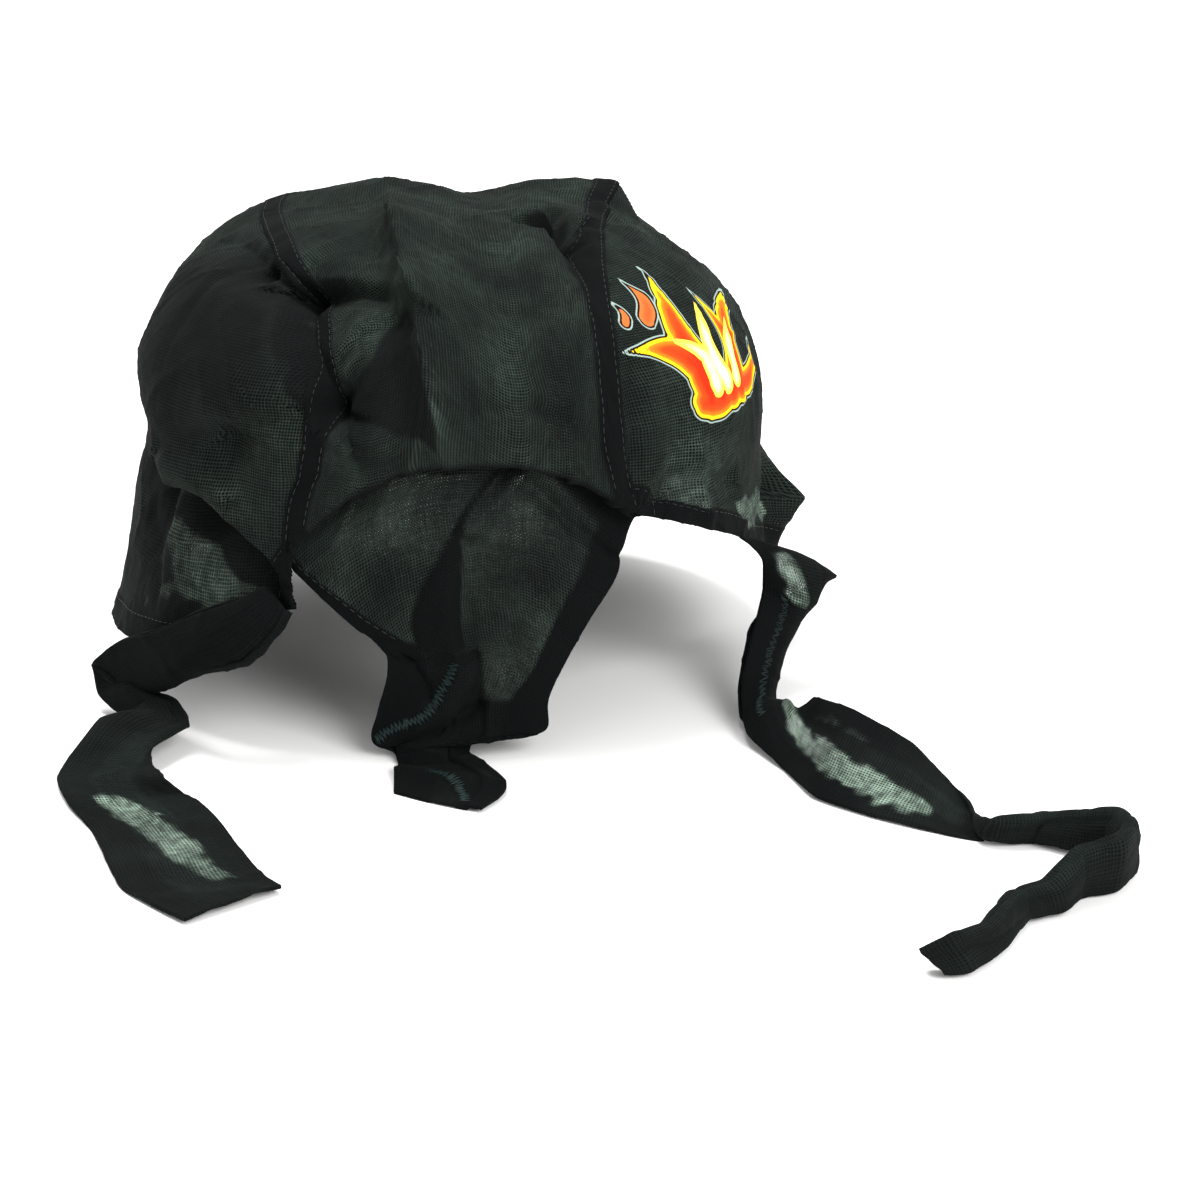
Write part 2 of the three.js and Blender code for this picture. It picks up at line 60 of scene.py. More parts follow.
def toLinear(colour):
    parts = [int(colour[i:i + 2], 16) / 255 for i in (1, 3, 5)]
    return tuple(v / 12.92 if v <= 0.04045 else ((v + 0.055) / 1.055) ** 2.4 for v in parts) + (1.0,)


def addNode(tree, kind, inputs=None, **settings):
    node = tree.nodes.new(kind)
    for name, value in settings.items():
        setattr(node, name, value)
    for socket, value in (inputs or {}).items():
        if isinstance(value, bpy.types.Node):
            value = next(output for output in value.outputs if output.enabled)
        if isinstance(value, bpy.types.NodeSocket):
            tree.links.new(value, node.inputs[socket])
        else:
            node.inputs[socket].default_value = value
    return node


def addObject(name, data):
    thing = bpy.data.objects.new(name, data)
    bpy.context.scene.collection.objects.link(thing)
    return thing


def newMaterial(name):
    material = bpy.data.materials.new(name)
    material.use_nodes = True
    material.node_tree.nodes.clear()
    return material, material.node_tree


# The camera, at the height and distance that give the photograph's view
viewpoint = {
    "aim": (46.5, 0, -126),
    "elevation": 20,
    "distance": 880,
    "lens": 85,
    "sensor": 36,
    "clipStart": 0.02,       # m
}


def placeCamera(p):
    data = bpy.data.cameras.new("camera")
    data.lens = p["lens"]
    data.sensor_width = p["sensor"]
    data.clip_start = p["clipStart"]
    camera = addObject("camera", data)
    tilt = p["elevation"] * deg
    back = Vector((0, -math.cos(tilt), math.sin(tilt)))
    camera.location = (Vector(p["aim"]) + back * p["distance"]) * mm
    camera.rotation_euler = (math.pi / 2 - tilt, 0, 0)
    bpy.context.scene.camera = camera


placeCamera(viewpoint)

# The cloth: what every piece is cut from
cloth = {
    "thickness": 0.4,        # the wall, drawn a little thicker than the real 0.3
    "hemThickness": 1.0,
    "hemWidth": 9,
    "hemEdge": 0.4,          # a hem ends over this much to both sides
    "hemStitches": 1.2,      # from the hem's edge
    "seamBand": 6.4,         # a felled seam, sewn twice
    "seamStitches": 0.9,     # from both edges of the band
    "clearFloor": 0.45,
    "veil": 0.07,            # the open share of the weave in a single layer of the crown
    "paintedLitFrom": 0.42,        # the open share at which the threads are painted fully lit by the light behind them
}
floorZ = cadBox[0][2] / mm


def waves(places, size, count, seed):
    # A smooth random field over places, about -1 to 1, with features of about the given size
    draws = np.random.default_rng(seed)
    total = np.zeros(places.shape[:-1])
    shortest, longest = 0.55, 1.5
    for _ in range(count):
        way = draws.normal(size=places.shape[-1])
        way /= np.linalg.norm(way)
        pace = 2 * math.pi / size * draws.uniform(shortest, longest)
        total += np.sin(places @ (way * pace) + draws.uniform(0, 2 * math.pi))
    return total / math.sqrt(count)


def crumple(places, size, seed, bend=0.35, crispness=3):
    # Soft facets between crisp creases, from 0 up to 1 on the crease lines
    warp = np.stack([waves(places, size * 1.7, 6, seed + 7 + k) for k in range(places.shape[-1])], -1)
    ridge = 1 - np.abs(waves(places + warp * size * bend, size, 7, seed))
    return np.clip(ridge, 0, 1) ** crispness


def tableAt(table, key, value, at, soft=0):
    # Straight-line reading of a table, with its corners rounded over a reach
    if not soft:
        return np.interp(at, table[key], table[value])
    shifts = (-1, -0.5, 0, 0.5, 1)
    return sum(np.interp(at + soft * s, table[key], table[value]) for s in shifts) / len(shifts)


def unitRows(v):
    return v / np.maximum(np.linalg.norm(v, axis=-1, keepdims=True), 1e-9)


def gridNormals(points):
    return unitRows(np.cross(np.gradient(points, axis=0), np.gradient(points, axis=1)))


def runAlong(points, axis):
    # Distance along the grid lines, from the first row or column
    steps = np.linalg.norm(np.diff(points, axis=axis), axis=-1)
    pad = np.zeros_like(np.take(steps, [0], axis=axis))
    return np.cumsum(np.concatenate([pad, steps], axis=axis), axis=axis)


def smoothStep(lo, hi, x):
    t = np.clip((x - lo) / (hi - lo), 0, 1)
    return t * t * (3 - 2 * t)


def hemShare(away, width):
    # 1 in a hem, 0 past its width
    return 1 - smoothStep(width - cloth["hemEdge"], width + cloth["hemEdge"], away)


def wallThickness(hem):
    return cloth["thickness"] + (cloth["hemThickness"] - cloth["thickness"]) * hem


def puckers(along, away, size, drift, reach, height):
    # Small waves along a seam or a hem, which die out away from it
    return np.sin(along / size + 2 * np.sin(along / drift)) * np.exp(-(away / reach) ** 2) * height


def clothMesh(name, points, half, uv, veil, layersAndShade, extra=None):
    # A closed thin wall around a grid of points, with its threads laid out in millimetres; the layer field
    # is
    # 1 where the cloth lies double, and it also carries the painted shade of some patches
    across, along = runAlong(points, 1)[:, -1].max(), runAlong(points, 0)[-1].max()
    print("stage:", name, "runs up to", round(float(across)), "mm across,", round(float(along)), "mm along")
    normals = gridNormals(points)
    outer = points + normals * half[..., None]
    inner = points - normals * half[..., None]
    low = floorZ + 0.05
    outer[..., 2] = np.maximum(outer[..., 2], low)
    inner[..., 2] = np.maximum(inner[..., 2], low)
    rows, cols = half.shape
    count = rows * cols
    grid = np.arange(count).reshape(rows, cols)
    a, b, c, d = grid[:-1, :-1], grid[1:, :-1], grid[1:, 1:], grid[:-1, 1:]
    faces = [np.stack([a, b, c, d], -1).reshape(-1, 4), np.stack([a, d, c, b], -1).reshape(-1, 4) + count]
    for line, flip in ((grid[:, 0], False), (grid[:, -1], True), (grid[0], True), (grid[-1], False)):
        p, q = line[:-1], line[1:]
        wall = np.stack([p, p + count, q + count, q], -1)
        faces.append(wall[:, ::-1] if flip else wall)
    faces = np.concatenate(faces)
    mesh = bpy.data.meshes.new(name)
    spots = np.concatenate([outer.reshape(-1, 3), inner.reshape(-1, 3)]) * mm
    mesh.from_pydata(spots.tolist(), [], faces.tolist())
    mesh.polygons.foreach_set("use_smooth", [True] * len(faces))
    layer = mesh.uv_layers.new(name="UVMap")
    flat = np.tile(uv.reshape(-1, 2), (2, 1))
    layer.data.foreach_set("uv", flat[faces.reshape(-1)].astype(np.float32).reshape(-1))
    # The threads close up until only this share of their half spacing is open
    gap = np.sin(math.pi / 2 * (1 - np.sqrt(np.clip(veil, 0, 1))))
    # Painted backlight: how far the threads are painted lit, rising with the open share
    paintedBacklight = np.clip(veil / cloth["paintedLitFrom"], 0, 1) ** 2
    fields = {"weaveGap": gap, "layersAndShade": layersAndShade, "paintedBacklight": paintedBacklight, **(extra or {})}
    for key, field in fields.items():
        attribute = mesh.attributes.new(key, "FLOAT", "POINT")
        attribute.data.foreach_set("value", np.tile(field.reshape(-1), 2).astype(np.float32))
    mesh.update()
    return addObject(name, mesh)


# The crown: an egg-like form about a centre inside the head, with its folds
crown = {
    "centre": np.array([0.0, 0.0, -58.0]),
    "halfWidth": 95,
    "halfBack": 94,
    "halfFront": 98,
    "rise": 58,
    "drop": 260,
    "squareness": 2.4,
    "flareTop": -90,
    "flareSpan": 35,
    "creaseRound": 0.55,     # degrees over which the top of a crease is rounded
    "frontRise": 211,
    "leftEndRise": -12.5,
    "rightEndRise": -9.4,
    "alongSteps": 250,
}

# Each fold runs between two places on a map of the crown, in degrees from the top, first to the wearer's
# right, then to the front: name, place, place, rise in mm at both ends, reach left and right, crispness
folds = [
    ("crown ridge brow", (-21, 42), (-16, 14), (0.6, 1), (18, 6), 0.9),
    ("crown ridge top", (-16, 14), (-9.5, -36), (1.6, 7), (8, 16), 1),
    ("crown ridge middle", (-9.5, -36), (-4.5, -57), (7, 8.5), (6, 20), 1),
    ("crown ridge foot", (-4.5, -57), (3, -85), (8.5, 3), (6, 20), 1),
    ("dent side", (-32, -48), (-22, -77), (-9, -8), (3.5, 14), 1),
    ("dent ledge", (-32, -46), (-5, -58), (-8.5, -5), (13, 3), 1),
    ("dent foot", (-5, -60), (-22, -74), (-3.5, -6), (5, 5), 1),
    ("dent floor", (-9, -64), (-20, -70), (2, 2.5), (3, 4), 1),
    ("seam ridge", (-35, -50), (-27, -74), (3.5, 3.5), (13, 3.5), 0.8),
    ("left crease top", (-53.5, -4.5), (-41, -35.5), (-2.5, -5), (8, 5), 1),
    ("left crease foot", (-41, -35.5), (-32, -49), (-5, -7), (6, 4), 1),
    ("left crease branch", (-46, -30), (-60, -44), (-1.6, -0.4), (3, 5), 1),
    ("left cheek ridge", (-52, -24), (-40, -62), (1, 3), (9, 4), 0.8),
    ("left cheek", (-56, -52), (-38, -66), (1, 4), (18, 12), 0),
    ("left shelf", (-72, -54), (-49, -69), (-3, -4.4), (16, 3.5), 1),
    ("left shelf end", (-49, -69), (-22.5, -76), (-4.4, -4.5), (13, 3.5), 1),
    ("left shoulder", (-46, 22), (-22, 18), (2, 2), (20, 20), 0),
    ("foot fold", (-24, -79), (-4, -86), (2.4, 1.2), (3.5, 6), 1),
    ("right groove top", (31, -6), (35, -27), (-6, -8), (7, 3), 1),
    ("right groove foot", (35, -27), (35.5, -50), (-8, -1), (8, 2.6), 1),
    ("right pocket", (23, -22), (34, -19), (-6, -7), (3, 7), 1),
    ("pocket lip", (22, -14), (35, -12), (2, 2), (4, 6), 0.8),
    ("right pucker", (40, 6), (48, -12), (2.2, 0.5), (3, 5), 1),
    ("right slope", (27, -53), (13, -75), (-3.8, -2.6), (9, 8), 1),
    ("middle crease", (-2, -62), (23, -57), (-1.2, -1), (5, 2.5), 1),
    ("lip arc", (2.5, -80), (24, -74.5), (-1.6, -1.6), (4, 2.5), 1),
    ("lip arc right", (24, -74.5), (40, -75), (-1.6, -1), (4, 2.5), 1),
    ("left lip fold", (-36, -84), (-8, -88), (-1.4, -1.2), (3, 2.5), 1),
    ("band crease", (44, -60), (50, -76), (-1.8, -1.4), (3, 5), 0.9),
    ("flank crease", (60, -74), (84, -50), (-2.2, -3.2), (8, 4), 1),
    ("flank fold", (66, -60), (78, -64), (1.6, 2), (5, 4), 0.9),
    ("flank dent", (52, -52), (62, -70), (-1.5, -2), (6, 9), 0.7),
    ("top saddle", (2, 54), (14, 0), (-5, -3.5), (15, 15), 0.2),
    ("top right hump", (26, 32), (40, 22), (2.5, 7), (14, 5), 0.6),
    ("left side slack", (-78, 10), (-84, -40), (-2.5, -3), (30, 26), 0),
    ("left waist", (-100, 24), (-86, -50), (-4, -4), (18, 16), 0),
    ("right side slack", (58, 30), (72, -20), (-4.5, -1.5), (20, 24), 0),
    ("waist fold", (-90, -38), (-84, -54), (-3, -6), (11, 2.4), 1),
    ("waist fold middle", (-84, -54), (-64.5, -74.5), (-6, -8), (13, 2.4), 1),
    ("waist fold foot", (-64.5, -74.5), (-48, -97), (-8, -5), (12, 2.4), 1),
    ("waist roll", (-80, -50), (-56, -76), (2, 2.6), (3, 6), 0.7),
    ("skirt crease", (-97, -44), (-92, -66), (-1.6, -2), (4, 5), 1),
    ("right flap", (107, 26), (108, 4), (8, 16), (7, 15), 1),
    ("brow left", (-30, 60), (-34, 100), (1.5, 2.5), (16, 12), 0.3),
    ("brow right", (12, 66), (16, 104), (-1.5, -2.5), (14, 16), 0.3),
]
rim = {
    "turn": [-180, -153, -120, -90, -64, -47, -36, -26, 26, 36, 45, 60, 75, 90, 120, 153, 180],
    "z": [-116, -116, -124, -128, -121, -115, -108, -99, -67, -72, -77.5, -88, -101, -110, -113, -116, -116],
}
flare = {
    "turn": [-180, -120, -100, -80, -62, -45, -25, 40, 70, 88, 100, 120, 180],
    "out": [2, 4, 9, 9, 7, 3, 0, 0, 4, 9, 9, 5, 2],
}
seams = {
    "rise": [-20, -8, 5, 18, 30, 45, 70, 95, 130, 180, 220],
    "left": [-41, -40, -34, -32, -36, -43, -50, -54, -53, -46, -44],
    "right": [60, 57, 53, 51.5, 49.5, 47.5, 47, 48, 47, 45, 44],
}
arch = {
    "x": [-41, -30, -19, -8, 0, 12.5, 25, 35.5, 44, 52, 58.4],
    "rise": [-12.5, -6.2, -0.5, 2.2, 3.6, 4.2, 3.7, 1.5, -0.8, -5, -9.4],
}


def foldHeight(mx, my, rows):
    height = np.zeros_like(mx)
    soft = crown["creaseRound"]
    for _, start, end, rise, reach, sharp in rows:
        dx, dy = end[0] - start[0], end[1] - start[1]
        rx, ry = mx - start[0], my - start[1]
        t = np.clip((rx * dx + ry * dy) / (dx * dx + dy * dy), 0, 1)
        away = np.hypot(rx - t * dx, ry - t * dy)
        away = np.sqrt(away * away + soft * soft) - soft
        u = np.minimum(away / np.where(rx * dy - ry * dx > 0, reach[0], reach[1]), 1)
        shape = sharp * (1 - u) ** 1.6 + (1 - sharp) * (1 - u * u) ** 2
        height += (rise[0] + (rise[1] - rise[0]) * t) * shape
    return height


def superSum(x, y, z, ay, az):
    k = crown["squareness"]
    return np.abs(x / crown["halfWidth"]) ** k + np.abs(y / ay) ** k + np.abs(z / az) ** k


def crownPoint(d):
    x, y, z = d[..., 0], d[..., 1], d[..., 2]
    ay = np.where(y < 0, crown["halfBack"], crown["halfFront"])
    az = np.where(z > 0, crown["rise"], crown["drop"])
    base = superSum(x, y, z, ay, az) ** (-1 / crown["squareness"])
    h = np.hypot(x, y)
    k = np.arctan2(h, z) / deg / np.maximum(h, 1e-9)
    p = crown["centre"] + d * (base + foldHeight(x * k, y * k, folds))[..., None]
    turn = np.arctan2(x, -y) / deg
    below = np.clip((crown["flareTop"] - p[..., 2]) / crown["flareSpan"], 0, 1.3) ** 1.5
    out = tableAt(flare, "turn", "out", turn, 8) * below / np.maximum(h, 1e-6)
    p[..., 0] += x * out
    p[..., 1] += y * out
    return p


def stripDirection(x, rise):
    cy, cz = -np.cos(rise * deg), np.sin(rise * deg)
    ay = np.where(cy < 0, crown["halfBack"], crown["halfFront"])
    az = np.where(cz > 0, crown["rise"], crown["drop"])
    k = crown["squareness"]
    left = np.maximum(1 - np.abs(x / crown["halfWidth"]) ** k, 1e-9)
    rho = (left / superSum(0, cy, cz, ay, az)) ** (1 / k)
    return unitRows(np.stack([x + 0 * rho, rho * cy, rho * cz], -1))


def rimDirection(turn):
    hx, hy = np.sin(turn * deg), -np.cos(turn * deg)
    dz = tableAt(rim, "turn", "z", turn, 2) - crown["centre"][2]
    ay = np.where(hy < 0, crown["halfBack"], crown["halfFront"])
    k = crown["squareness"]
    left = np.maximum(1 - np.abs(dz / crown["drop"]) ** k, 1e-9)
    rho = (left / superSum(hx, hy, 0, ay, 1)) ** (1 / k)
    return unitRows(np.stack([hx * rho, hy * rho, dz], -1))


# Where the weave of the crown is pulled open: place on the map, reach in degrees, and the open share there,
# which also sets how far the threads are painted lit
veils = [
    ("ridge foot gap", (0, -79), (2.5, 3), 0.2),
    ("left cheek", (-42, -60), (7, 9), 0.1),
    ("left outer", (-62, -40), (16, 26), 0.03),
    ("waist mesh", (-56, -78), (9, 8), 0.13),
    ("slope mesh", (12, -68), (12, 8), 0.1),
    ("right flank", (68, -62), (10, 8), 0.2),
]
# Patches with firmer edges: corners on the map, how soft the edge is in degrees, the open share of the
# weave, and how far the cloth is drawn dark like doubled cloth there; in the cheek shadow, valley, dark
# plane, groove and skirt shade patches this darkness is painted shade
patches = [
    ("cheek shadow", [(-100, 0), (-60, -6), (-40, -33), (-32, -50), (-33, -66), (-46, -67), (-70, -52),
                      (-98, -40)], 13, 0.03, 0.75),
    ("valley", [(-37, -44), (-31, -47), (-24, -66), (-21, -77), (-29, -73), (-33, -58)], 2, 0.02, 0.85),
    ("pocket mesh", [(-31, -50), (-21, -54), (-7, -60), (-14, -65), (-21, -71), (-25, -66)], 1.5, 0.13, 0),
    ("dark plane", [(-4.5, -59), (-20, -73.5), (-21, -77), (2, -84), (-1, -71.5)], 1.2, 0.04, 0.8),
    ("groove", [(23, -16), (33, -9), (36, -25), (34, -46), (31, -28), (27, -19)], 1.6, 0.02, 0.85),
    ("skirt shade", [(-84, -46), (-64, -74), (-47, -98), (-58, -112), (-80, -100), (-112, -62), (-112, -30)],
     2, 0.03, 0.72),
    ("skirt mesh", [(-84, -59), (-76, -69), (-55.5, -97), (-74, -85), (-100, -60), (-83, -73), (-84, -66)],
     1.2, 0.19, 0),
    ("flank mesh", [(61.5, -64.5), (65.5, -59.5), (73, -54), (78, -54), (78.5, -59), (68.5, -67),
                    (63.5, -67.5)], 1.8, 0.15, 0),
    ("flap mesh", [(88.5, -50), (96, -37.5), (109, -9), (112, -9.5), (101.5, -38.5), (93, -48)], 1, 0.38, 0),
]


def mapPlaces(points):
    # Places of points on the map of the crown, in degrees
    d = unitRows(points - crown["centre"])
    h = np.hypot(d[..., 0], d[..., 1])
    k = np.arctan2(h, d[..., 2]) / deg / np.maximum(h, 1e-9)
    return d[..., 0] * k, d[..., 1] * k


def lineDistance(x, y, a, b):
    dx, dy = b[0] - a[0], b[1] - a[1]
    t = np.clip(((x - a[0]) * dx + (y - a[1]) * dy) / (dx * dx + dy * dy), 0, 1)
    return np.hypot(x - a[0] - t * dx, y - a[1] - t * dy)


def patchDepth(x, y, corners):
    # How deep a place lies inside a patch, less than 0 outside it
    inside = np.zeros(x.shape, bool)
    away = np.full(x.shape, 999.0)
    for a, b in zip(corners, corners[1:] + corners[:1]):
        away = np.minimum(away, lineDistance(x, y, a, b))
        if a[1] != b[1]:
            inside ^= ((a[1] > y) != (b[1] > y)) & (x < a[0] + (y - a[1]) / (b[1] - a[1]) * (b[0] - a[0]))
    return np.where(inside, away, -away)


# How the weave varies: the size of each kind of blotch in mm, how strong it is, and its seed
blotches = {
    "reach": (22, 0.35, 201),
    "share": (30, 0.35, 231),
    "edge": (9, 0.7, 241),
    "torn": 0.3,             # patches opened past this share are bare of their hem too
}


def veilOver(points, cover):
    # The open share of the weave over the crown and how far it is drawn dark, as doubled cloth in hems and
    # bands and as painted shade in some patches, blotched a little
    mx, my = mapPlaces(points)
    blotch, spread, ragged = [
        waves(points, size, 8, seed) * strength
        for size, strength, seed in (blotches[kind] for kind in ("reach", "share", "edge"))]
    veil = np.full(mx.shape, float(cloth["veil"]))
    for _, (x, y), (rx, ry), value in veils:
        near = np.exp(-(((mx - x) / rx) ** 2 + ((my - y) / ry) ** 2) * (1 + blotch))
        veil += (value - veil) * np.clip(near, 0, 1)
    veil *= (1 + spread) * (1 - cover)
    layersAndShade = cover.copy()
    # A patch's darkening is painted shade, drawn in the colour of doubled cloth
    for _, corners, soft, value, darkening in patches:
        share = smoothStep(-soft / 2, soft / 2, patchDepth(mx, my, corners) + ragged)
        veil += (value - veil) * share
        layersAndShade += (np.maximum(darkening, cover * (value < blotches["torn"])) - layersAndShade) * share
    return veil, layersAndShade


# Slack, creases and small crumples that the big folds leave out: size and height, in mm
crumples = {
    "slack": (38, 0.3),
    "crease": (34, 0.6),
    "small": (15, 0.22),
    "sink": 0.3,
}


def fineFolds(points, normals, amount, seed):
    (slackSize, slack), (creaseSize, crease), (smallSize, small) = [
        crumples[kind] for kind in ("slack", "crease", "small")]
    height = waves(points, slackSize, 8, seed) * slack + (
        crumple(points, creaseSize, seed + 20) * crease + crumple(points, smallSize, seed + 40) * small)
    return points + normals * ((height - crumples["sink"]) * amount)[..., None]


# The crown strip, from the front rim over the top to the rolled edge of the rear arch
centerPanel = {
    "acrossSteps": 150,
    "archSmoothing": 9,      # columns over which the corners of the arch are rounded
    "lipRadius": 2.6,
    "lipTurn": 178,
    "lipSteps": 12,
    "lipDraw": 1.2,          # how far the lip draws in at the seams
    "doubled": 3,            # how far over the lip the cloth is fully double
    "turnUnder": 6,
    "turnUnderSteps": 5,
    "turnUnderRise": 0.25,   # how far its end comes back towards the cloth, in lip radii
    "bandLift": 0.25,
    "bandEdge": (0.5, 0.3),  # the band ends over this much inside and outside its width
    "bandStiffness": 0.6,
    "lap": 0.4,
    "pucker": {"size": 2.6, "drift": 11, "reach": 6, "height": 0.16},
    "seed": 3,
}


def makeCenterPanel(p):
    v = np.linspace(0, 1, p["acrossSteps"] + 1)
    rise = np.zeros_like(v)
    # Where the seams end on the arch settles in a few rounds
    for _ in range(6):
        left = tableAt(seams, "rise", "left", rise) - p["lap"]
        right = tableAt(seams, "rise", "right", rise) + p["lap"]
        rise = np.interp(left + (right - left) * v, arch["x"], arch["rise"])
    kernel = np.hanning(p["archSmoothing"])
    end = np.convolve(np.pad(rise, len(kernel) // 2, mode="edge"), kernel / kernel.sum(), mode="valid")
    t = np.linspace(0, 1, crown["alongSteps"] + 1)[:, None]
    rise = crown["frontRise"] + (end - crown["frontRise"]) * t
    left = tableAt(seams, "rise", "left", rise, 4) - p["lap"]
    right = tableAt(seams, "rise", "right", rise, 4) + p["lap"]
    x = left + (right - left) * v
    points = crownPoint(stripDirection(x, rise))
    normals = gridNormals(points)
    fromSeam = np.minimum(x - left, right - x)
    band, (inside, outside) = cloth["seamBand"], p["bandEdge"]
    inBand = 1 - smoothStep(band - inside, band + outside, fromSeam)
    points = fineFolds(points, normals, 1 - p["bandStiffness"] * inBand, p["seed"])
    pucker = puckers(runAlong(points, 0), fromSeam - band / 2, **p["pucker"])
    points += normals * (inBand * p["bandLift"] + pucker)[..., None]
    lift = cloth["hemThickness"] / 2 + threads["lift"]
    normals = gridNormals(points)
    lines = []
    for inset in (cloth["seamStitches"], band - cloth["seamStitches"]):
        lines.append(lineAt(points, normals, x - left, inset, lift))
        lines.append(lineAt(points, normals, right - x, inset, lift))
    points, way = addLip(points, gridNormals(points), p)
    rows = points.shape[0]
    full = np.concatenate([inBand, np.repeat(inBand[-1:], rows - inBand.shape[0], 0)])
    along = runAlong(points, 0)
    hem = hemShare(along, cloth["hemWidth"])
    rolled = smoothStep(0, p["doubled"], way)
    across = runAlong(points, 1)
    uv = np.stack([across - across[:, [across.shape[1] // 2]], along], -1)
    cover = np.maximum(np.maximum(full, hem), rolled)
    half = wallThickness(np.maximum(full, hem)) / 2
    veil, layersAndShade = veilOver(points, cover)
    return clothMesh("centerPanelCloth", points, half, uv, veil, layersAndShade), lines


def addLip(points, normals, p):
    # The cloth goes over the edge of the arch, turns under and runs back inside
    last, before, n = points[-1], points[-2], normals[-1]
    down = last - before
    down[:, 0] = 0
    down = unitRows(down)
    n = unitRows(n - down * (n * down).sum(-1, keepdims=True))
    turns = np.linspace(0, p["lipTurn"], p["lipSteps"] + 1)[1:] * deg
    radius = p["lipRadius"]
    draw = p["lipDraw"] * (1 - 2 * np.linspace(0, 1, last.shape[0]))
    rows, way = [points], [np.zeros(points.shape[:2])]
    for turn in turns:
        row = last - n * radius * (1 - math.cos(turn)) + down * radius * math.sin(turn)
        row[:, 0] += draw * turn / turns[-1]
        rows.append(row[None])
        way.append(np.full((1, last.shape[0]), radius * turn))
    for k in np.linspace(0, 1, p["turnUnderSteps"] + 1)[1:]:
        row = last - n * radius * (2 - p["turnUnderRise"] * k) - down * p["turnUnder"] * k
        row[:, 0] += draw
        rows.append(row[None])
        way.append(np.full((1, last.shape[0]), radius * turns[-1] + p["turnUnder"] * k))
    return np.concatenate(rows), np.concatenate(way)


# The side panels, from a seam down to the hemmed rim
sidePanels = {
    "grainTurn": -35,        # where the threads lie square: degrees from the side towards the front
    "acrossSteps": 150,
    "tuckUnder": 1.6,        # how far the edge goes under the crown strip's band
    "tuckReach": (1.2, 3.2),
    "tuckSink": 0.55,
    "tuckStiffness": 0.75,
    "seamPucker": {"size": 2.6, "drift": 11, "reach": 7, "height": 0.16},
    "hemPucker": {"size": 3.1, "drift": 17, "reach": 5, "height": 0.2},
    "runTo": 150,            # degrees from the top that the threads are laid out to, past the rim
    "seeds": {"left": 11, "right": 31},
}


def sidePanelGrid(side, p):
    seam = "left" if side < 0 else "right"
    end = crown[seam + "EndRise"]
    t = np.linspace(0, 1, crown["alongSteps"] + 1)
    rise = crown["frontRise"] + (end - crown["frontRise"]) * t
    x = tableAt(seams, "rise", seam, rise, 4) - side * p["tuckUnder"]
    top = stripDirection(x, rise)
    turns = np.arctan2(top[[0, -1], 0], -top[[0, -1], 1]) / deg
    low = rimDirection(turns[0] + (turns[1] - turns[0]) * t)
    w = np.linspace(0, 1, p["acrossSteps"] + 1)
    d = unitRows(top[:, None] * (1 - w)[None, :, None] + low[:, None] * w[None, :, None])
    points = crownPoint(d)
    return points[:, ::-1] if side < 0 else points


def threadRuns(points, side, p):
    # How the threads of a side panel lie, in mm: round the head on one side, and down from its top
    beta = np.linspace(0, p["runTo"], 2 * p["runTo"] + 1) * deg
    x, z = np.sin(beta), np.cos(beta)
    az = np.where(z > 0, crown["rise"], crown["drop"])
    base = superSum(x, 0, z, crown["halfBack"], az) ** (-1 / crown["squareness"])
    out, high = x * base, z * base + crown["centre"][2]
    down = np.concatenate([[0], np.cumsum(np.hypot(np.diff(out), np.diff(high)))])
    px, py = mapPlaces(points)
    turn = np.hypot(px, py) * deg
    facing = np.arctan2(py, side * px) - p["grainTurn"] * deg
    return np.stack([np.interp(turn, beta, out) * facing, np.interp(turn, beta, down)], -1)


def makeSidePanel(side, p):
    hand = "left" if side < 0 else "right"
    points = sidePanelGrid(side, p)
    normals = gridNormals(points)
    across = runAlong(points, 1)
    fromSeam = across if side > 0 else across[:, -1:] - across
    fromRim = across[:, -1:] - across if side > 0 else across
    along = runAlong(points, 0)
    fromEnd = along[-1:] - along
    under = 1 - smoothStep(*p["tuckReach"], fromSeam)
    points = fineFolds(points, normals, 1 - p["tuckStiffness"] * under, p["seeds"][hand])
    pucker = puckers(along, fromSeam, **p["seamPucker"])
    points += normals * (pucker * (1 - under) - under * p["tuckSink"])[..., None]
    width = cloth["hemWidth"]
    hem = hemShare(np.minimum(fromRim, fromEnd), width)
    points += normals * puckers(along, fromRim - width, **p["hemPucker"])[..., None]
    uv = threadRuns(points, side, p)
    veil, layersAndShade = veilOver(points, np.maximum(hem, under))
    normals = gridNormals(points)
    lift = cloth["hemThickness"] / 2 + threads["lift"]
    inset = width - cloth["hemStitches"]
    lines = [lineAt(points, normals, fromRim, inset, lift)]
    turned = [g.swapaxes(0, 1) for g in (points, normals, fromEnd)]
    lines.append(lineAt(*turned, inset, lift))
    extra = printFields(points, flames) if side > 0 else None
    return clothMesh(hand + "PanelCloth", points, wallThickness(hem) / 2, uv, veil, layersAndShade, extra), lines


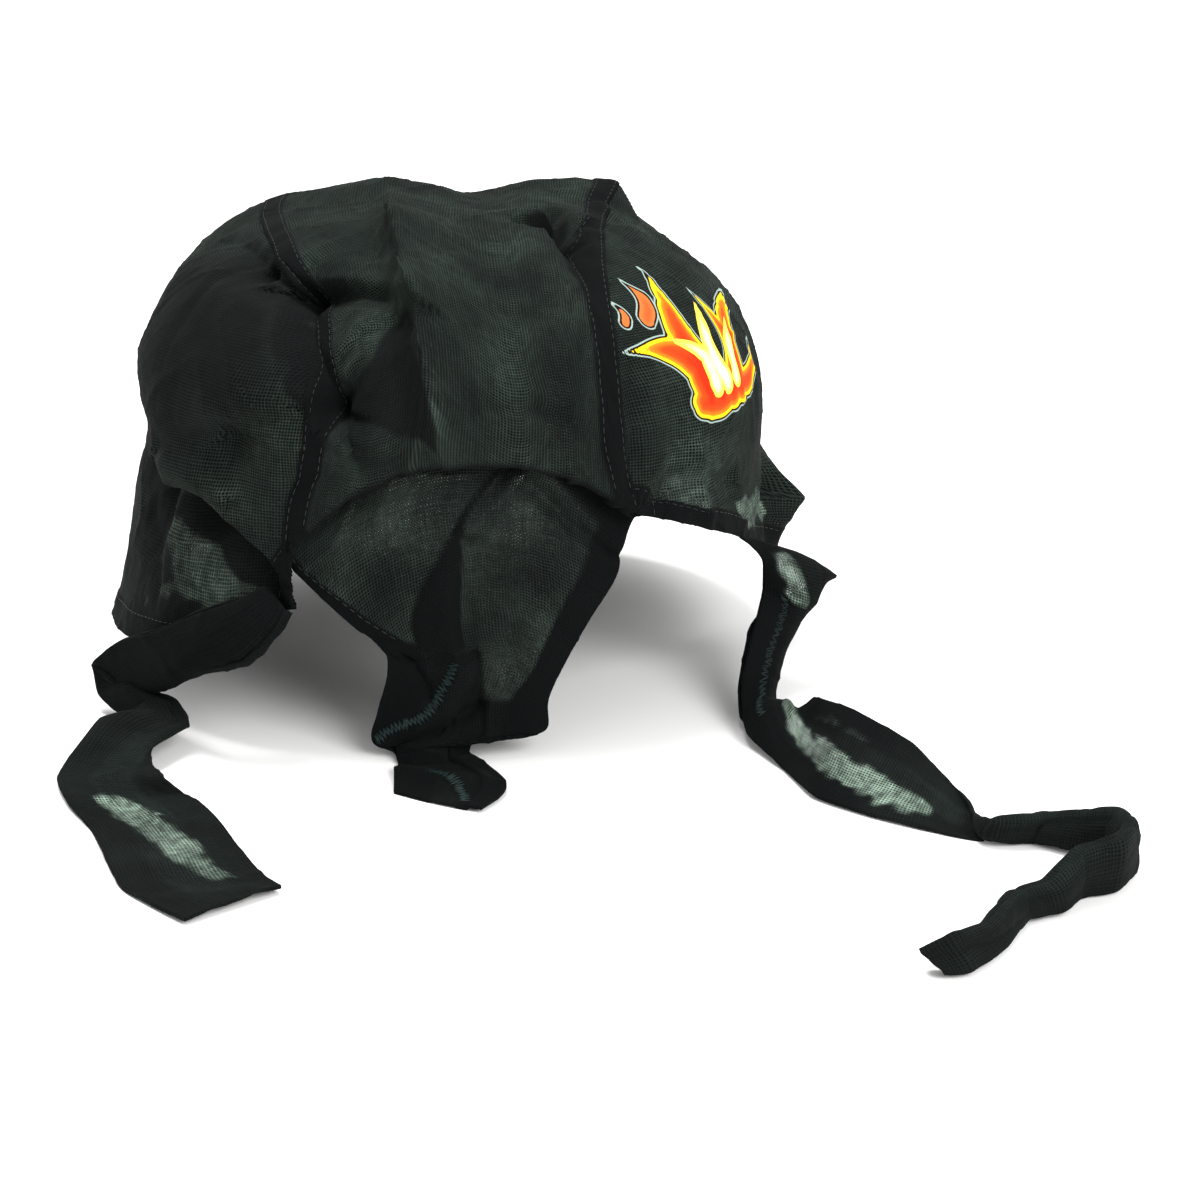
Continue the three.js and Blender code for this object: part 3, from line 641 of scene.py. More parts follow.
# The tail: its left and right edges, how far the middle sags and stands back, and its pleat
tail = {
    "acrossSteps": 90,
    "steps": 14,
    "columns": ("lx", "ly", "lz", "rx", "ry", "rz", "sag", "out", "pleat", "at"),
    "rows": [
        (-41, -79, -79.5, 57.5, -72.5, -72, -21, 5.8, 0.5, 0.6),
        (-40.6, -81, -84.3, 52.6, -76, -81.3, -15, 7.2, 1.5, 0.58),
        (-36.4, -83, -89.5, 51.3, -79, -89.7, -7, 6, 2.5, 0.52),
        (-26.6, -85, -98.6, 44.3, -82, -100.9, -1, 4, 3, 0.48),
        (-15.1, -86, -109, 37.5, -84, -112.8, 2, 3, 3, 0.46),
        (-13.2, -87, -115.8, 32.1, -86, -124.1, 3, 2, 2, 0.46),
        (-16.3, -88, -127.5, 31, -87, -133.4, 2, 3, 1, 0.46),
        (-17.6, -89, -136.3, 20, -90, -134.6, 0, 4, 0.5, 0.46),
        (-11, -93, -139.6, 9.9, -90, -137.6, -1, 3, 0, 0.46),
        (-10.8, -101, -139, 20.8, -112, -139, 0, 1, 0, 0.46),
        (-10.2, -114, -139.8, 14.5, -127, -139.8, 0, 1, 0, 0.46),
    ],
    # The pleat lies double between these two lines, given across the tail at shares of its length
    "folded": {"t": [0, 0.1, 0.14, 0.2, 0.3, 0.37], "left": [0.648, 0.545, 0.5, 0.435, 0.295, 0.24],
               "right": [0.66, 0.56, 0.525, 0.515, 0.49, 0.475]},
    "step": {"reach": 0.03, "left": 0.25, "right": 0.22},    # how the pleat's step dies out across the tail
    "foldRise": 1.1,
    "foldEdge": 0.006,
    "foldEnd": (0.36, 0.375),
    # The end piece lies double: where it starts and its right edge, both slanted about one place, then the
    # tip below it
    "endAt": (0.3, 0.4),
    "endTop": (0.355, 0.375, 0.04),
    "endSide": (0.52, 0.56, 0.5),
    "tipTop": (0.495, 0.51),
    "endSink": 0.9,
    "endDoubled": 0.8,
    # The shade under the arch, painted as dark closed cloth like a doubled layer: its softness, how it drops
    # to the right past a place, and its strength
    "archShade": {"soft": 0.015, "drop": 0.34, "past": 0.72, "doubled": 0.9},
    "veil": (0.085, 0.1),    # the open share left and right of the pleat
    "leftHem": {"t": [0, 0.12, 0.22, 0.32, 0.38, 1], "width": [2.2, 2.8, 4, 7.5, 13, 13]},
    "hemWander": (0.5, 9),   # how far the left hem's edge strays, and over what length
    "hemEdge": 0.008,
    "size": (60, 150),       # rough width and length, for the reach of the creases
    "crumples": 0.75,
    "seeds": (51, 61),
    "shaded": 0.2,           # how much darker the field right of the pleat is
    "stitched": 0.37,        # the left hem's stitches end where the pleat is tacked down
    "rightHem": {"t": [0, 0.13, 0.43, 0.5, 1], "s": [0.93, 0.91, 0.83, 0.76, 0.7]},
    # Creases: from and to, as shares across and along the tail, then rise and reach in mm
    "creases": [
        ("end fold", (0.02, 0.77), (0.575, 0.52), -3, 2.4),
        ("end bulge", (0.1, 0.66), (0.5, 0.42), 2.2, 6),
        ("end crease", (0.12, 0.41), (0.3, 0.54), -1.5, 2),
        ("pleat line", (0.65, 0.0), (0.5, 0.14), -1.6, 1.4),
        ("pleat edge", (0.515, 0.16), (0.48, 0.36), -1.8, 1.6),
        ("light fold", (0.7, 0.02), (0.56, 0.15), 1.8, 2),
        ("end edge", (0.05, 0.43), (0.5, 0.385), -1.2, 2),
        ("tip fold", (0, 0.84), (1, 0.8), -1.6, 3),
        ("tip rise", (0.1, 0.9), (0.8, 0.9), 1.4, 5),
        ("corner fold", (0.6, 0.09), (0.66, 0.01), -1.3, 1.6),
        ("corner fold right", (0.66, 0.01), (0.8, 0.08), -1.2, 1.6),
        ("right droop", (0.75, 0.02), (0.95, 0.1), 2.2, 5),
        ("right droop edge", (0.72, 0.06), (0.97, 0.14), -1.6, 2.2),
        ("middle fold", (0.72, 0.1), (0.62, 0.33), 0.9, 3.5),
    ],
    # The tacking's routes, as shares across and along
    "tackSteps": 24,
    "tacks": [
        [(0.4, 0.4), (0.34, 0.49), (0.29, 0.555), (0.15, 0.62), (0.05, 0.68)],
        [(0.3, 0.89), (0.5, 0.9), (0.6, 0.93), (0.76, 0.97)],
    ],
}


def smoothRows(rows, steps, ease=1.0):
    # A smooth run of numbers through the rows of a table; less ease keeps the corners crisper
    rows = np.array(rows, float)
    padded = np.concatenate([rows[:1], rows, rows[-1:]])
    u = (np.arange(steps) / steps)[:, None]
    out = []
    for i in range(len(rows) - 1):
        a, b, c, d = padded[i:i + 4]
        before, after = (c - a) / 2 * ease, (d - b) / 2 * ease
        h = u * u * (3 - 2 * u)
        out.append(b + (c - b) * h + before * (u - 2 * u ** 2 + u ** 3) + after * (u ** 3 - u ** 2))
    return np.concatenate(out + [rows[-1:]])


def makeTail(p):
    rows = smoothRows(p["rows"], p["steps"])
    s = np.linspace(0, 1, p["acrossSteps"] + 1)[None, :]
    column = {name: rows[:, i:i + 1] for i, name in enumerate(p["columns"])}
    bow = 4 * s * (1 - s)
    d = s - column["at"]
    fade = 1 - np.exp(-((d / p["step"]["reach"]) ** 2))
    toLeft = np.exp(np.minimum(d, 0) / p["step"]["left"])
    toRight = np.exp(-np.maximum(d, 0) / p["step"]["right"])
    step = np.where(d < 0, toLeft, -toRight) * fade
    x = column["lx"] + (column["rx"] - column["lx"]) * s
    y = column["ly"] + (column["ry"] - column["ly"]) * s - column["out"] * bow - column["pleat"] * step
    z = column["lz"] + (column["rz"] - column["lz"]) * s - column["sag"] * bow
    points = np.stack([x, y, z], -1)
    t = np.linspace(0, 1, rows.shape[0])[:, None] + 0 * s
    s = s + 0 * t
    normals = gridNormals(points)
    left = tableAt(p["folded"], "t", "left", t, 0.02)
    right = tableAt(p["folded"], "t", "right", t, 0.02)
    edge = p["foldEdge"]
    pleat = smoothStep(left - edge, left + edge, s) * (1 - smoothStep(right - edge, right + edge, s))
    pleat = pleat * (1 - smoothStep(*p["foldEnd"], t))
    (topFrom, topTo, topSlant), (sideFrom, sideTo, sideSlant) = p["endTop"], p["endSide"]
    endS, endT = p["endAt"]
    shelf = smoothStep(topFrom, topTo, t - topSlant * (s - endS))
    shelf = shelf * (1 - smoothStep(sideFrom, sideTo, s - sideSlant * (t - endT)))
    end = np.maximum(shelf, smoothStep(*p["tipTop"], t))
    wide, long = p["size"]
    creases = 0
    for _, (fromS, fromT), (toS, toT), rise, reach in p["creases"]:
        away = lineDistance(s * wide, t * long, (fromS * wide, fromT * long), (toS * wide, toT * long))
        creases = creases + rise * np.exp(-(away / reach) ** 2)
    points = points + normals * (pleat * p["foldRise"] - shelf * p["endSink"] + creases)[..., None]
    points = fineFolds(points, normals, p["crumples"], p["seeds"][0])
    points[..., 2] = np.maximum(points[..., 2], floorZ + cloth["clearFloor"])
    across, along = runAlong(points, 1), runAlong(points, 0)
    leftEdge = tableAt(p["leftHem"], "t", "width", t, 0.02)
    stray, strayRun = p["hemWander"]
    leftHem = hemShare(across - leftEdge + stray * np.sin(along / strayRun), 0)
    rightEdge = tableAt(p["rightHem"], "t", "s", t, 0.02)
    rightHem = smoothStep(rightEdge - p["hemEdge"], rightEdge + p["hemEdge"], s)
    shade = p["archShade"]
    drop = shade["drop"] * np.clip(s - shade["past"], 0, 1)
    darkTop = 1 - smoothStep(-shade["soft"], shade["soft"], t - shade["soft"] - drop)
    # The top of the tail is painted with the shade under the arch
    cover = np.max([leftHem, rightHem, pleat, end * p["endDoubled"], darkTop * shade["doubled"]], axis=0)
    half = wallThickness(np.maximum(leftHem, rightHem)) / 2
    uv = np.stack([across - across[:, -1:] / 2, along], -1)
    veilLeft, veilRight = p["veil"]
    blotch = 0.3 * waves(points, 24, 8, p["seeds"][1])
    veil = np.where(s > right, veilRight, veilLeft) * (1 + blotch) * (1 - cover)
    layersAndShade = np.maximum(cover, p["shaded"] * (s > right))
    normals = gridNormals(points)
    lift = cloth["hemThickness"] / 2 + threads["lift"]
    upper = slice(0, int(p["stitched"] * len(points)))
    inHem = -cloth["hemStitches"]
    lines = [lineAt(points[upper], normals[upper], (across - leftEdge)[upper], inHem, lift)]
    tacks = []
    for route in p["tacks"]:
        at = np.array(route)
        run = np.linspace(0, 1, p["tackSteps"])
        steps = np.linspace(0, 1, len(at))
        si, ti = np.interp(run, steps, at[:, 0]), np.interp(run, steps, at[:, 1])
        i = np.rint(ti * (points.shape[0] - 1)).astype(int)
        j = np.rint(si * (points.shape[1] - 1)).astype(int)
        line = points[i, j] + normals[i, j] * lift
        way = unitRows(np.gradient(line, axis=0))
        tacks.append((line, np.cross(normals[i, j], way)))
    return clothMesh("tailCloth", points, half, uv, veil, layersAndShade), lines, tacks


# The tie straps: both visible edges, how far the strap is folded lengthwise and which way it bulges
ties = {
    "width": 32,
    "foldHalf": 2.4,
    "acrossSteps": 36,
    "steps": 14,
    "hem": 9.5,
    "ease": 0.55,
    "hemEdge": 1.2,
    "foldEdge": 35,          # degrees round a folded strap at which its two edges lie
    "pleats": {
        "count": 2.5, "sway": 0.9, "swayRun": 23, "flat": 0.25, "folded": 0.9, "vary": 0.5, "varyRun": 17},
    "crumples": 0.8,
    "ragged": (13, 4),       # sizes of the unevenness along hems and openings
    "raggedHem": 0.8,
    "raggedOpening": 1.3,
    "openEdge": 1.2,
    "veil": 0.03,
    "darkNearRoot": (0.36, 0.5),  # where the tie stops being drawn darker, as a share of its length from its root
    "layersAndShade": {"cloth": 0.28, "hem": 0.3, "darkNearRoot": 0.5},
    # Where the weave is pulled open, and the threads are painted lit by the light behind: from and to, as a
    # share of the length and mm off the middle, then the half width and the open share
    "leftOpen": [
        ("end patch", (0.675, -4), (0.84, 2.5), 4.2, 0.5),
        ("end patch tip", (0.84, 2.5), (0.92, 7), 2.6, 0.3),
    ],
    "rightOpen": [
        ("root patch", (0.056, -7.5), (0.083, -6), 4, 0.35),
        ("leaf top", (0.27, 1), (0.33, -1.5), 3.6, 0.5),
        ("leaf strip", (0.35, -2), (0.47, -7.5), 4.8, 0.44),
        ("leaf edge", (0.33, 9), (0.4, 8), 1, 0.12),
    ],
}
tieLeftRows = [
    (-46.3, -90, -89.1, -40, -92, -95.5, 1, 1),
    (-53.6, -91, -92.9, -43.1, -94, -101.2, 1, 1),
    (-64.8, -87, -97.9, -51.9, -93, -111.1, 1, 1),
    (-78.8, -75, -107.5, -65.5, -85, -117.2, 1, 1),
    (-92.3, -61, -116.1, -77.4, -72, -127.3, 1, 1),
    (-101.9, -51, -127, -86.4, -61, -133.1, 1, 1),
    (-100.2, -54, -135.8, -84.8, -66, -129.7, 1, 1),
    (-93.5, -62, -139, -76.1, -74, -129.6, 1, 1),
    (-90.9, -74, -137.5, -69.8, -84, -133.5, 0.8, 1),
    (-94.8, -86, -131, -70.3, -94, -137.2, 0.5, 1),
    (-103.8, -105.6, -139.6, -72.5, -116.8, -134.6, 0, 0.3),
    (-97.9, -123.4, -140, -65.9, -119, -139.6, 0, 0.1),
    (-88.7, -139.6, -140, -58.7, -128.6, -140, 0, 0.1),
    (-75.5, -174, -140, -41, -166, -140, 0, 0.1),
    (-56.5, -194.5, -139.6, -34.3, -176.5, -139, 0, 0.1),
]
tieRightRows = [
    (87.6, -50, -88.1, 98.7, -22, -100.7, 0, 0.3),
    (94, -42, -98.2, 117.9, -26, -108.9, 0, 1),
    (94.1, -38, -109, 110.1, -30, -119.5, 0.6, 1),
    (90.7, -46, -119.3, 101.9, -38, -126.4, 1, 1),
    (87.4, -58, -130.4, 99.1, -52, -132.1, 1, 1),
    (87.3, -68, -136, 98.2, -60, -135.3, 1, 1),
    (88.7, -80.5, -138.4, 103.1, -68, -132.6, 0.6, 1),
    (97.4, -98.1, -140, 108.4, -69.8, -130.6, 0, 0.1),
    (105, -118, -140, 116.9, -93.1, -124.5, 0, 0.1),
    (118.7, -129.9, -140, 132.9, -103.2, -130.3, 0, 0.1),
    (132, -138.3, -140, 139.3, -107.5, -135.7, 0, 0.1),
    (140.6, -142.2, -140, 146.9, -123.2, -138.6, 0.1, -0.5),
    (147.8, -145.9, -140, 150, -148.6, -133, 0.8, -1),
    (159.9, -144.6, -140, 163.5, -147.6, -132.6, 1, -1),
    (170.3, -150.9, -140, 171.8, -154.1, -129.1, 1, -1),
    (179.9, -156.4, -140, 179.3, -160.7, -126.1, 1, -1),
    (182.8, -164.8, -140, 181.1, -170.2, -124.6, 1, -1),
    (176.6, -175.4, -140, 176.2, -180.8, -123.6, 1, -1),
    (166.9, -178.9, -140, 166.3, -183.6, -125.6, 1, -1),
    (161, -188, -140, 157.6, -187.9, -132.6, 1, -1),
    (151.9, -192.4, -140, 148.9, -191.6, -133.6, 1, -1),
    (144, -207.1, -140, 139.7, -209.1, -133.1, 1, -1),
    (134.7, -219.2, -140, 130, -219, -131.6, 1, -1),
    (128.7, -221.2, -140, 122.8, -219, -135.6, 0.9, -1),
]


def solveCurl(ratio):
    # How far a strip turns when its ends are nearer than its width
    wanted = np.clip(ratio, 0.08, 0.9999)
    lo, hi = np.full_like(wanted, 0.02), np.full_like(wanted, 150 * deg)
    for _ in range(40):
        mid = (lo + hi) / 2
        wide = np.sin(mid / 2) / (mid / 2) > wanted
        lo, hi = np.where(wide, mid, lo), np.where(wide, hi, mid)
    return lo


def strapGrid(table, p):
    rows = smoothRows(table, p["steps"], p["ease"])
    a, b = rows[:, :3], rows[:, 3:6]
    fold, side = np.clip(rows[:, 6:7], 0, 1), rows[:, 7:8]
    middle = (a + b) / 2
    along = unitRows(np.gradient(middle, axis=0))
    wide = b - a
    span = np.linalg.norm(wide, axis=-1, keepdims=True)
    across = unitRows(wide)
    n = unitRows(np.cross(along, across))
    curl = solveCurl(span / p["width"])
    rho = span / (2 * np.sin(curl / 2))
    k = np.linspace(0, 1, p["acrossSteps"] + 1)[None, :]
    th = (k - 0.5) * curl
    u0 = rho * np.sin(th)
    v0 = rho * (np.cos(th) - np.cos(curl / 2)) * side
    edge = p["foldEdge"]
    ph = (edge + (360 - 2 * edge) * k) * deg
    u1 = np.clip(-span / 2 * np.cos(ph) / math.cos(edge * deg), -span / 2, span / 2)
    v1 = p["foldHalf"] * np.sin(ph) * np.where(side >= 0, 1, -1)
    u = u0 + (u1 - u0) * fold
    v = v0 + (v1 - v0) * fold
    return middle[:, None] + across[:, None] * u[..., None] + n[:, None] * v[..., None], fold, k


def makeTie(name, table, p, seed, openings, crease):
    points, fold, k = strapGrid(table, p)
    normals = gridNormals(points)
    length = runAlong(points.mean(1)[:, None], 0)
    pleat = p["pleats"]
    sway = pleat["sway"] * np.sin(length / pleat["swayRun"] + seed)
    height = pleat["folded"] + pleat["vary"] * np.sin(length / pleat["varyRun"] + seed)
    pleats = 1 - 2 * np.abs(np.cos(math.pi * pleat["count"] * k + sway))
    points = points + normals * (pleats * (pleat["flat"] + fold * height) * crease)[..., None]
    points = fineFolds(points, normals, p["crumples"], seed)
    points[..., 2] = np.maximum(points[..., 2], floorZ + cloth["clearFloor"])
    u = (k - 0.5) * p["width"] + 0 * length
    uv = np.stack([u, length + 0 * u], -1)
    coarse, fine = p["ragged"]
    ragged = waves(uv, coarse, 6, seed + 3) * 0.5 + waves(uv, fine, 8, seed + 4) * 0.5
    edge = np.minimum(p["width"] / 2 - np.abs(u), length[-1:] - length) + ragged * p["raggedHem"]
    hem = 1 - smoothStep(p["hem"] - p["hemEdge"], p["hem"] + p["hemEdge"], edge)
    total = length.max()
    t = length / total + 0 * u
    darkNearRoot = 1 - smoothStep(*p["darkNearRoot"], t)
    darkening = p["layersAndShade"]
    veil = p["veil"] * (1 - hem)
    layersAndShade = np.minimum(darkening["cloth"] + darkening["hem"] * hem + darkening["darkNearRoot"] * darkNearRoot, 1)
    for _, start, end, half, value in openings:
        away = lineDistance(t * total, u, (start[0] * total, start[1]), (end[0] * total, end[1]))
        away = away + ragged * p["raggedOpening"]
        share = 1 - smoothStep(half - p["openEdge"], half + p["openEdge"], away)
        veil = veil + (value * (1 + 0.2 * waves(uv, 6, 8, seed + 5)) - veil) * share
        layersAndShade = layersAndShade * (1 - share)
    return clothMesh(name, points, wallThickness(hem) / 2, uv, veil, layersAndShade), points, t


# Black cotton voile, plain woven: fine uneven threads with gaps that let light through, matt, with a dry
# greenish cast in a single layer and a bluer black where it lies double. Where light comes through a single
# layer the threads are painted lighter, and the same bluer black is painted as shade on patches of the crown
# and under the arch. The real threads are about 0.36 mm apart and are drawn 2.3 times as coarse, so that
# they show.
voile = {
    "dark": "#080a09",
    "light": "#202724",
    "doubled": "#08090a",
    "lit": "#869a8b",        # painted backlight: the colour of threads of a single layer with light behind them
    "pitch": 0.84,
    "drift": 3.5,            # how far the threads wander from straight, in mm
    "wander": 0.03,
    "slub": (1.2, 0.07),     # how fast a thread's thickness changes across it and along it
    "uneven": 0.3,
    "gapEdge": (-0.12, 0.22),
    "relief": 1.05,          # how much darker the dips between the threads are than the threads
    "tone": (0.64, 0.82),    # from the thin to the thick places of the threads
    "shade": {"scale": 0.05, "range": (-0.2, 0.2)},
    "lint": {"scale": 1.1, "from": 0.58, "to": 0.78, "lift": 0.6},
    "worn": {"scale": 0.32, "range": (0.5, 1.2)},
    "closed": 0.88,          # how far a doubled layer takes its own colour
    "open": 0.62,            # what a gap between the threads lets through at most
    "roughness": 0.9,
    "specular": 0.035,
    "sheen": 0.012,
    "sheenTint": "#c9d4cc",
    "bump": 0.12,
    "bumpStrength": 0.55,
    "slubHeight": 0.25,
}


def voileMaterial(name, p, printed=False):
    material, tree = newMaterial(name)
    uv = addNode(tree, "ShaderNodeUVMap", uv_map="UVMap")
    gap = addNode(tree, "ShaderNodeAttribute", attribute_name="weaveGap").outputs["Fac"]
    layersAndShade = addNode(tree, "ShaderNodeAttribute", attribute_name="layersAndShade").outputs["Fac"]
    paintedBacklight = addNode(tree, "ShaderNodeAttribute", attribute_name="paintedBacklight").outputs["Fac"]
    wander = addNode(tree, "ShaderNodeTexNoise", {"Vector": uv, "Scale": p["wander"], "Detail": 1.0})
    laid = addNode(tree, "ShaderNodeVectorMath", {
        0: wander.outputs["Color"], 1: (p["drift"], p["drift"], 0), 2: uv}, operation="MULTIPLY_ADD")
    turns = addNode(tree, "ShaderNodeVectorMath", {0: laid, "Scale": math.pi / p["pitch"]},
                    operation="SCALE")
    swing = addNode(tree, "ShaderNodeVectorMath", {0: turns}, operation="SINE")
    threadWaves = addNode(tree, "ShaderNodeVectorMath", {0: swing}, operation="ABSOLUTE")
    wave = addNode(tree, "ShaderNodeSeparateXYZ", {0: threadWaves}).outputs
    slubs, gaps = [], []
    fast, slow = p["slub"]
    gapFrom, gapTo = p["gapEdge"]
    for axis, stretch in enumerate(((fast, slow, 1), (slow, fast, 1))):
        spot = addNode(tree, "ShaderNodeMapping", {"Vector": laid, "Scale": stretch})
        slub = addNode(tree, "ShaderNodeTexNoise", {"Vector": spot, "Scale": 1 / p["pitch"], "Detail": 0.0})
        edge = addNode(tree, "ShaderNodeMath", {0: slub, 1: p["uneven"], 2: gap}, operation="MULTIPLY_ADD")
        past = addNode(tree, "ShaderNodeMath", {0: wave[axis], 1: edge}, operation="SUBTRACT")
        gaps.append(addNode(tree, "ShaderNodeMapRange", {
            "Value": past, "From Min": gapFrom - p["uneven"] / 2, "From Max": gapTo - p["uneven"] / 2},
            interpolation_type="SMOOTHSTEP"))
        slubs.append(slub)
    hole = addNode(tree, "ShaderNodeMath", {0: gaps[0], 1: gaps[1]}, operation="MULTIPLY")
    streak = addNode(tree, "ShaderNodeMath", {0: slubs[0], 1: slubs[1]}, operation="ADD")
    weave = addNode(tree, "ShaderNodeMath", {0: wave[0], 1: wave[1]}, operation="MULTIPLY")
    broad = addNode(tree, "ShaderNodeTexNoise", {"Vector": uv, "Scale": p["shade"]["scale"], "Detail": 4.0})
    lint = addNode(tree, "ShaderNodeTexNoise", {"Vector": uv, "Scale": p["lint"]["scale"], "Detail": 3.0})
    thinTone, thickTone = p["tone"]
    tone = addNode(tree, "ShaderNodeMapRange", {"Value": streak, "From Min": 0.7, "From Max": 1.3,
                                                "To Min": thinTone, "To Max": thickTone})
    darker, lighter = p["shade"]["range"]
    shade = addNode(tree, "ShaderNodeMapRange", {"Value": broad, "From Min": 0.35, "From Max": 0.65,
                                                 "To Min": darker, "To Max": lighter})
    tone = addNode(tree, "ShaderNodeMath", {0: tone, 1: shade}, operation="ADD")
    fluff = addNode(tree, "ShaderNodeMapRange", {
        "Value": lint, "From Min": p["lint"]["from"], "From Max": p["lint"]["to"],
        "To Max": p["lint"]["lift"]})
    tone = addNode(tree, "ShaderNodeMath", {0: tone, 1: fluff}, operation="ADD")
    tone = addNode(tree, "ShaderNodeMath", {0: weave, 1: -p["relief"], 2: tone}, operation="MULTIPLY_ADD")
    colour = addNode(tree, "ShaderNodeMix", {
        "Factor": tone, "A": toLinear(p["dark"]), "B": toLinear(p["light"])}, data_type="RGBA")
    # Painted backlight: where light comes through, the threads are painted lighter, some more than others
    mottle = addNode(tree, "ShaderNodeTexNoise", {"Vector": uv, "Scale": p["worn"]["scale"], "Detail": 3.0})
    least, most = p["worn"]["range"]
    worn = addNode(tree, "ShaderNodeMapRange", {"Value": mottle, "From Min": 0.38, "From Max": 0.62,
                                                "To Min": least, "To Max": most})
    worn = addNode(tree, "ShaderNodeMath", {0: worn, 1: paintedBacklight}, operation="MULTIPLY")
    glow = addNode(tree, "ShaderNodeMath", {0: worn, 1: tone}, operation="MULTIPLY")
    colour = addNode(tree, "ShaderNodeMix", {"Factor": glow, "A": colour, "B": toLinear(p["lit"])},
                     data_type="RGBA")
    # Doubled cloth takes the bluer black, and so does the shade painted as doubled cloth
    cover = addNode(tree, "ShaderNodeMath", {0: layersAndShade, 1: p["closed"]}, operation="MULTIPLY")
    colour = addNode(tree, "ShaderNodeMix", {"Factor": cover, "A": colour, "B": toLinear(p["doubled"])},
                     data_type="RGBA")
    alpha = addNode(tree, "ShaderNodeMath", {0: hole, 1: -p["open"], 2: 1.0}, operation="MULTIPLY_ADD")
    if printed:
        colour, alpha = addPrint(tree, colour, alpha)
    raised = addNode(tree, "ShaderNodeMath", {0: streak, 1: p["slubHeight"]}, operation="MULTIPLY")
    height = addNode(tree, "ShaderNodeMath", {0: raised, 1: weave}, operation="SUBTRACT")
    bump = addNode(tree, "ShaderNodeBump", {
        "Height": height, "Strength": p["bumpStrength"], "Distance": p["bump"] * mm})
    shader = addNode(tree, "ShaderNodeBsdfPrincipled", {
        "Base Color": colour, "Alpha": alpha, "Normal": bump, "Roughness": p["roughness"],
        "Specular IOR Level": p["specular"], "Sheen Weight": p["sheen"], "Sheen Roughness": 0.45,
        "Sheen Tint": toLinear(p["sheenTint"])})
    addNode(tree, "ShaderNodeOutputMaterial", {"Surface": shader})
    return material


# The print on the right panel: flame licks, screen printed in orange-red with yellow edges and a thin pale
# line round them. The ink closes the weave and lies a little smoother than the cloth.
flames = {
    "centre": (58, -44),     # on the map of the crown
    "up": (-0.45, 0.3, 1),
    "edge": "#f4c31c",
    "line": "#140c0a",
    "pale": "#8fa19a",
    "samples": 40,
    "size": 0.88,
    "bandDepth": 8.0,        # mm over which the bands of an ink run
    # Each lick: its ink, where it starts, its width and length, its heading and how far it curls
    "tongues": [
        ("fire", -2, -18, 15, 36, 128, -8),
        ("fire", 5, -18, 16, 46, 98, 7),
        ("fire", 13, -18, 15, 35, 74, -6),
        ("fire", 20, -18, 14, 44, 50, 8),
        ("fire", 24, -18, 11, 28, 18, -4),
        ("fire", -6, -18, 12, 32, 0, -3),
        ("cream", 3, -15, 7, 24, 114, -4),
        ("cream", 10, -15, 8, 28, 90, 4),
        ("cream", 18, -15, 7, 24, 60, 4),
        ("amber", -12, 12, 7, 15, 64, -3),
        ("amber", -21, 13, 4.5, 9, 70, -2),
    ],
    # The shades of each ink from the edge to the middle
    "inks": {
        "fire": ("#ef7a1c", "#dc4418", "#b92a12"),
        "cream": ("#f4d24a", "#f1e2a0", "#f5edc8"),
        "amber": ("#cf6a34", "#bd5429", "#9c401c"),
    },
}


def tongueDepth(x, y, row, samples):
    # How deep a place lies inside one lick: a run of shrinking circles along a curling line
    _, x0, y0, width, length, heading, curl = row
    depth = np.full(x.shape, -99.0)
    c, s = math.cos(heading * deg), math.sin(heading * deg)
    for t in np.linspace(0, 1, samples):
        side = curl * (math.sin(math.pi * t * 1.15) - 0.55 * t)
        px = x0 + c * length * t - s * side
        py = y0 + s * length * t + c * side
        radius = width / 2 * (1 - t) ** 0.75 * (1 + 0.35 * math.sin(math.pi * t))
        depth = np.maximum(depth, radius - np.hypot(x - px, y - py))
    return depth


def mapDirection(mx, my):
    beta, angle = math.hypot(mx, my) * deg, math.atan2(mx, my)
    return np.array([math.sin(beta) * math.sin(angle), math.sin(beta) * math.cos(angle), math.cos(beta)])


def printFields(points, p):
    centre = crownPoint(mapDirection(*p["centre"])[None])[0]
    away = unitRows(centre - crown["centre"])
    up = np.array(p["up"], float)
    up = unitRows(up - away * (up @ away))
    right = np.cross(up, away)
    x, y = (points - centre) @ right / p["size"], (points - centre) @ up / p["size"]
    facing = ((points - crown["centre"]) @ away) > 0
    fields = {}
    for ink in p["inks"]:
        rows = [row for row in p["tongues"] if row[0] == ink]
        depth = np.max([tongueDepth(x, y, row, p["samples"]) for row in rows], axis=0)
        fields["ink" + ink.capitalize()] = np.where(facing, depth, -99.0)
    return fields


def addPrint(tree, colour, alpha):
    # Each ink is banded by its depth from the edge: pale line, dark line, yellow edge, then the body
    for ink, body in flames["inks"].items():
        depth = addNode(tree, "ShaderNodeAttribute", attribute_name="ink" + ink.capitalize()).outputs["Fac"]
        share = addNode(tree, "ShaderNodeMapRange", {"Value": depth, "From Max": flames["bandDepth"]})
        ramp = addNode(tree, "ShaderNodeValToRGB", {"Fac": share})
        outline = [(0, flames["pale"]), (0.05, flames["pale"]),
                   (0.075, flames["line"]), (0.13, flames["line"])]
        stops = outline + [(0.15, flames["edge"]), (0.25, flames["edge"]),
                           (0.3, body[0]), (0.5, body[1]), (0.85, body[2])]
        if ink == "amber":
            stops = outline + [(0.16, body[0]), (0.35, body[1]), (0.6, body[2])]
        if ink == "cream":
            stops = [(0, body[0]), (0.12, body[0]), (0.25, body[1]), (0.6, body[2])]
        bands = ramp.color_ramp
        while len(bands.elements) < len(stops):
            bands.elements.new(0.5)
        for element, (place, shade) in zip(bands.elements, stops):
            element.position = place
            element.color = toLinear(shade)
        inside = addNode(tree, "ShaderNodeMapRange", {"Value": depth, "From Min": -0.05, "From Max": 0.15})
        colour = addNode(tree, "ShaderNodeMix", {"Factor": inside, "A": colour, "B": ramp}, data_type="RGBA")
        alpha = addNode(tree, "ShaderNodeMath", {0: alpha, 1: inside}, operation="MAXIMUM")
    return colour, alpha


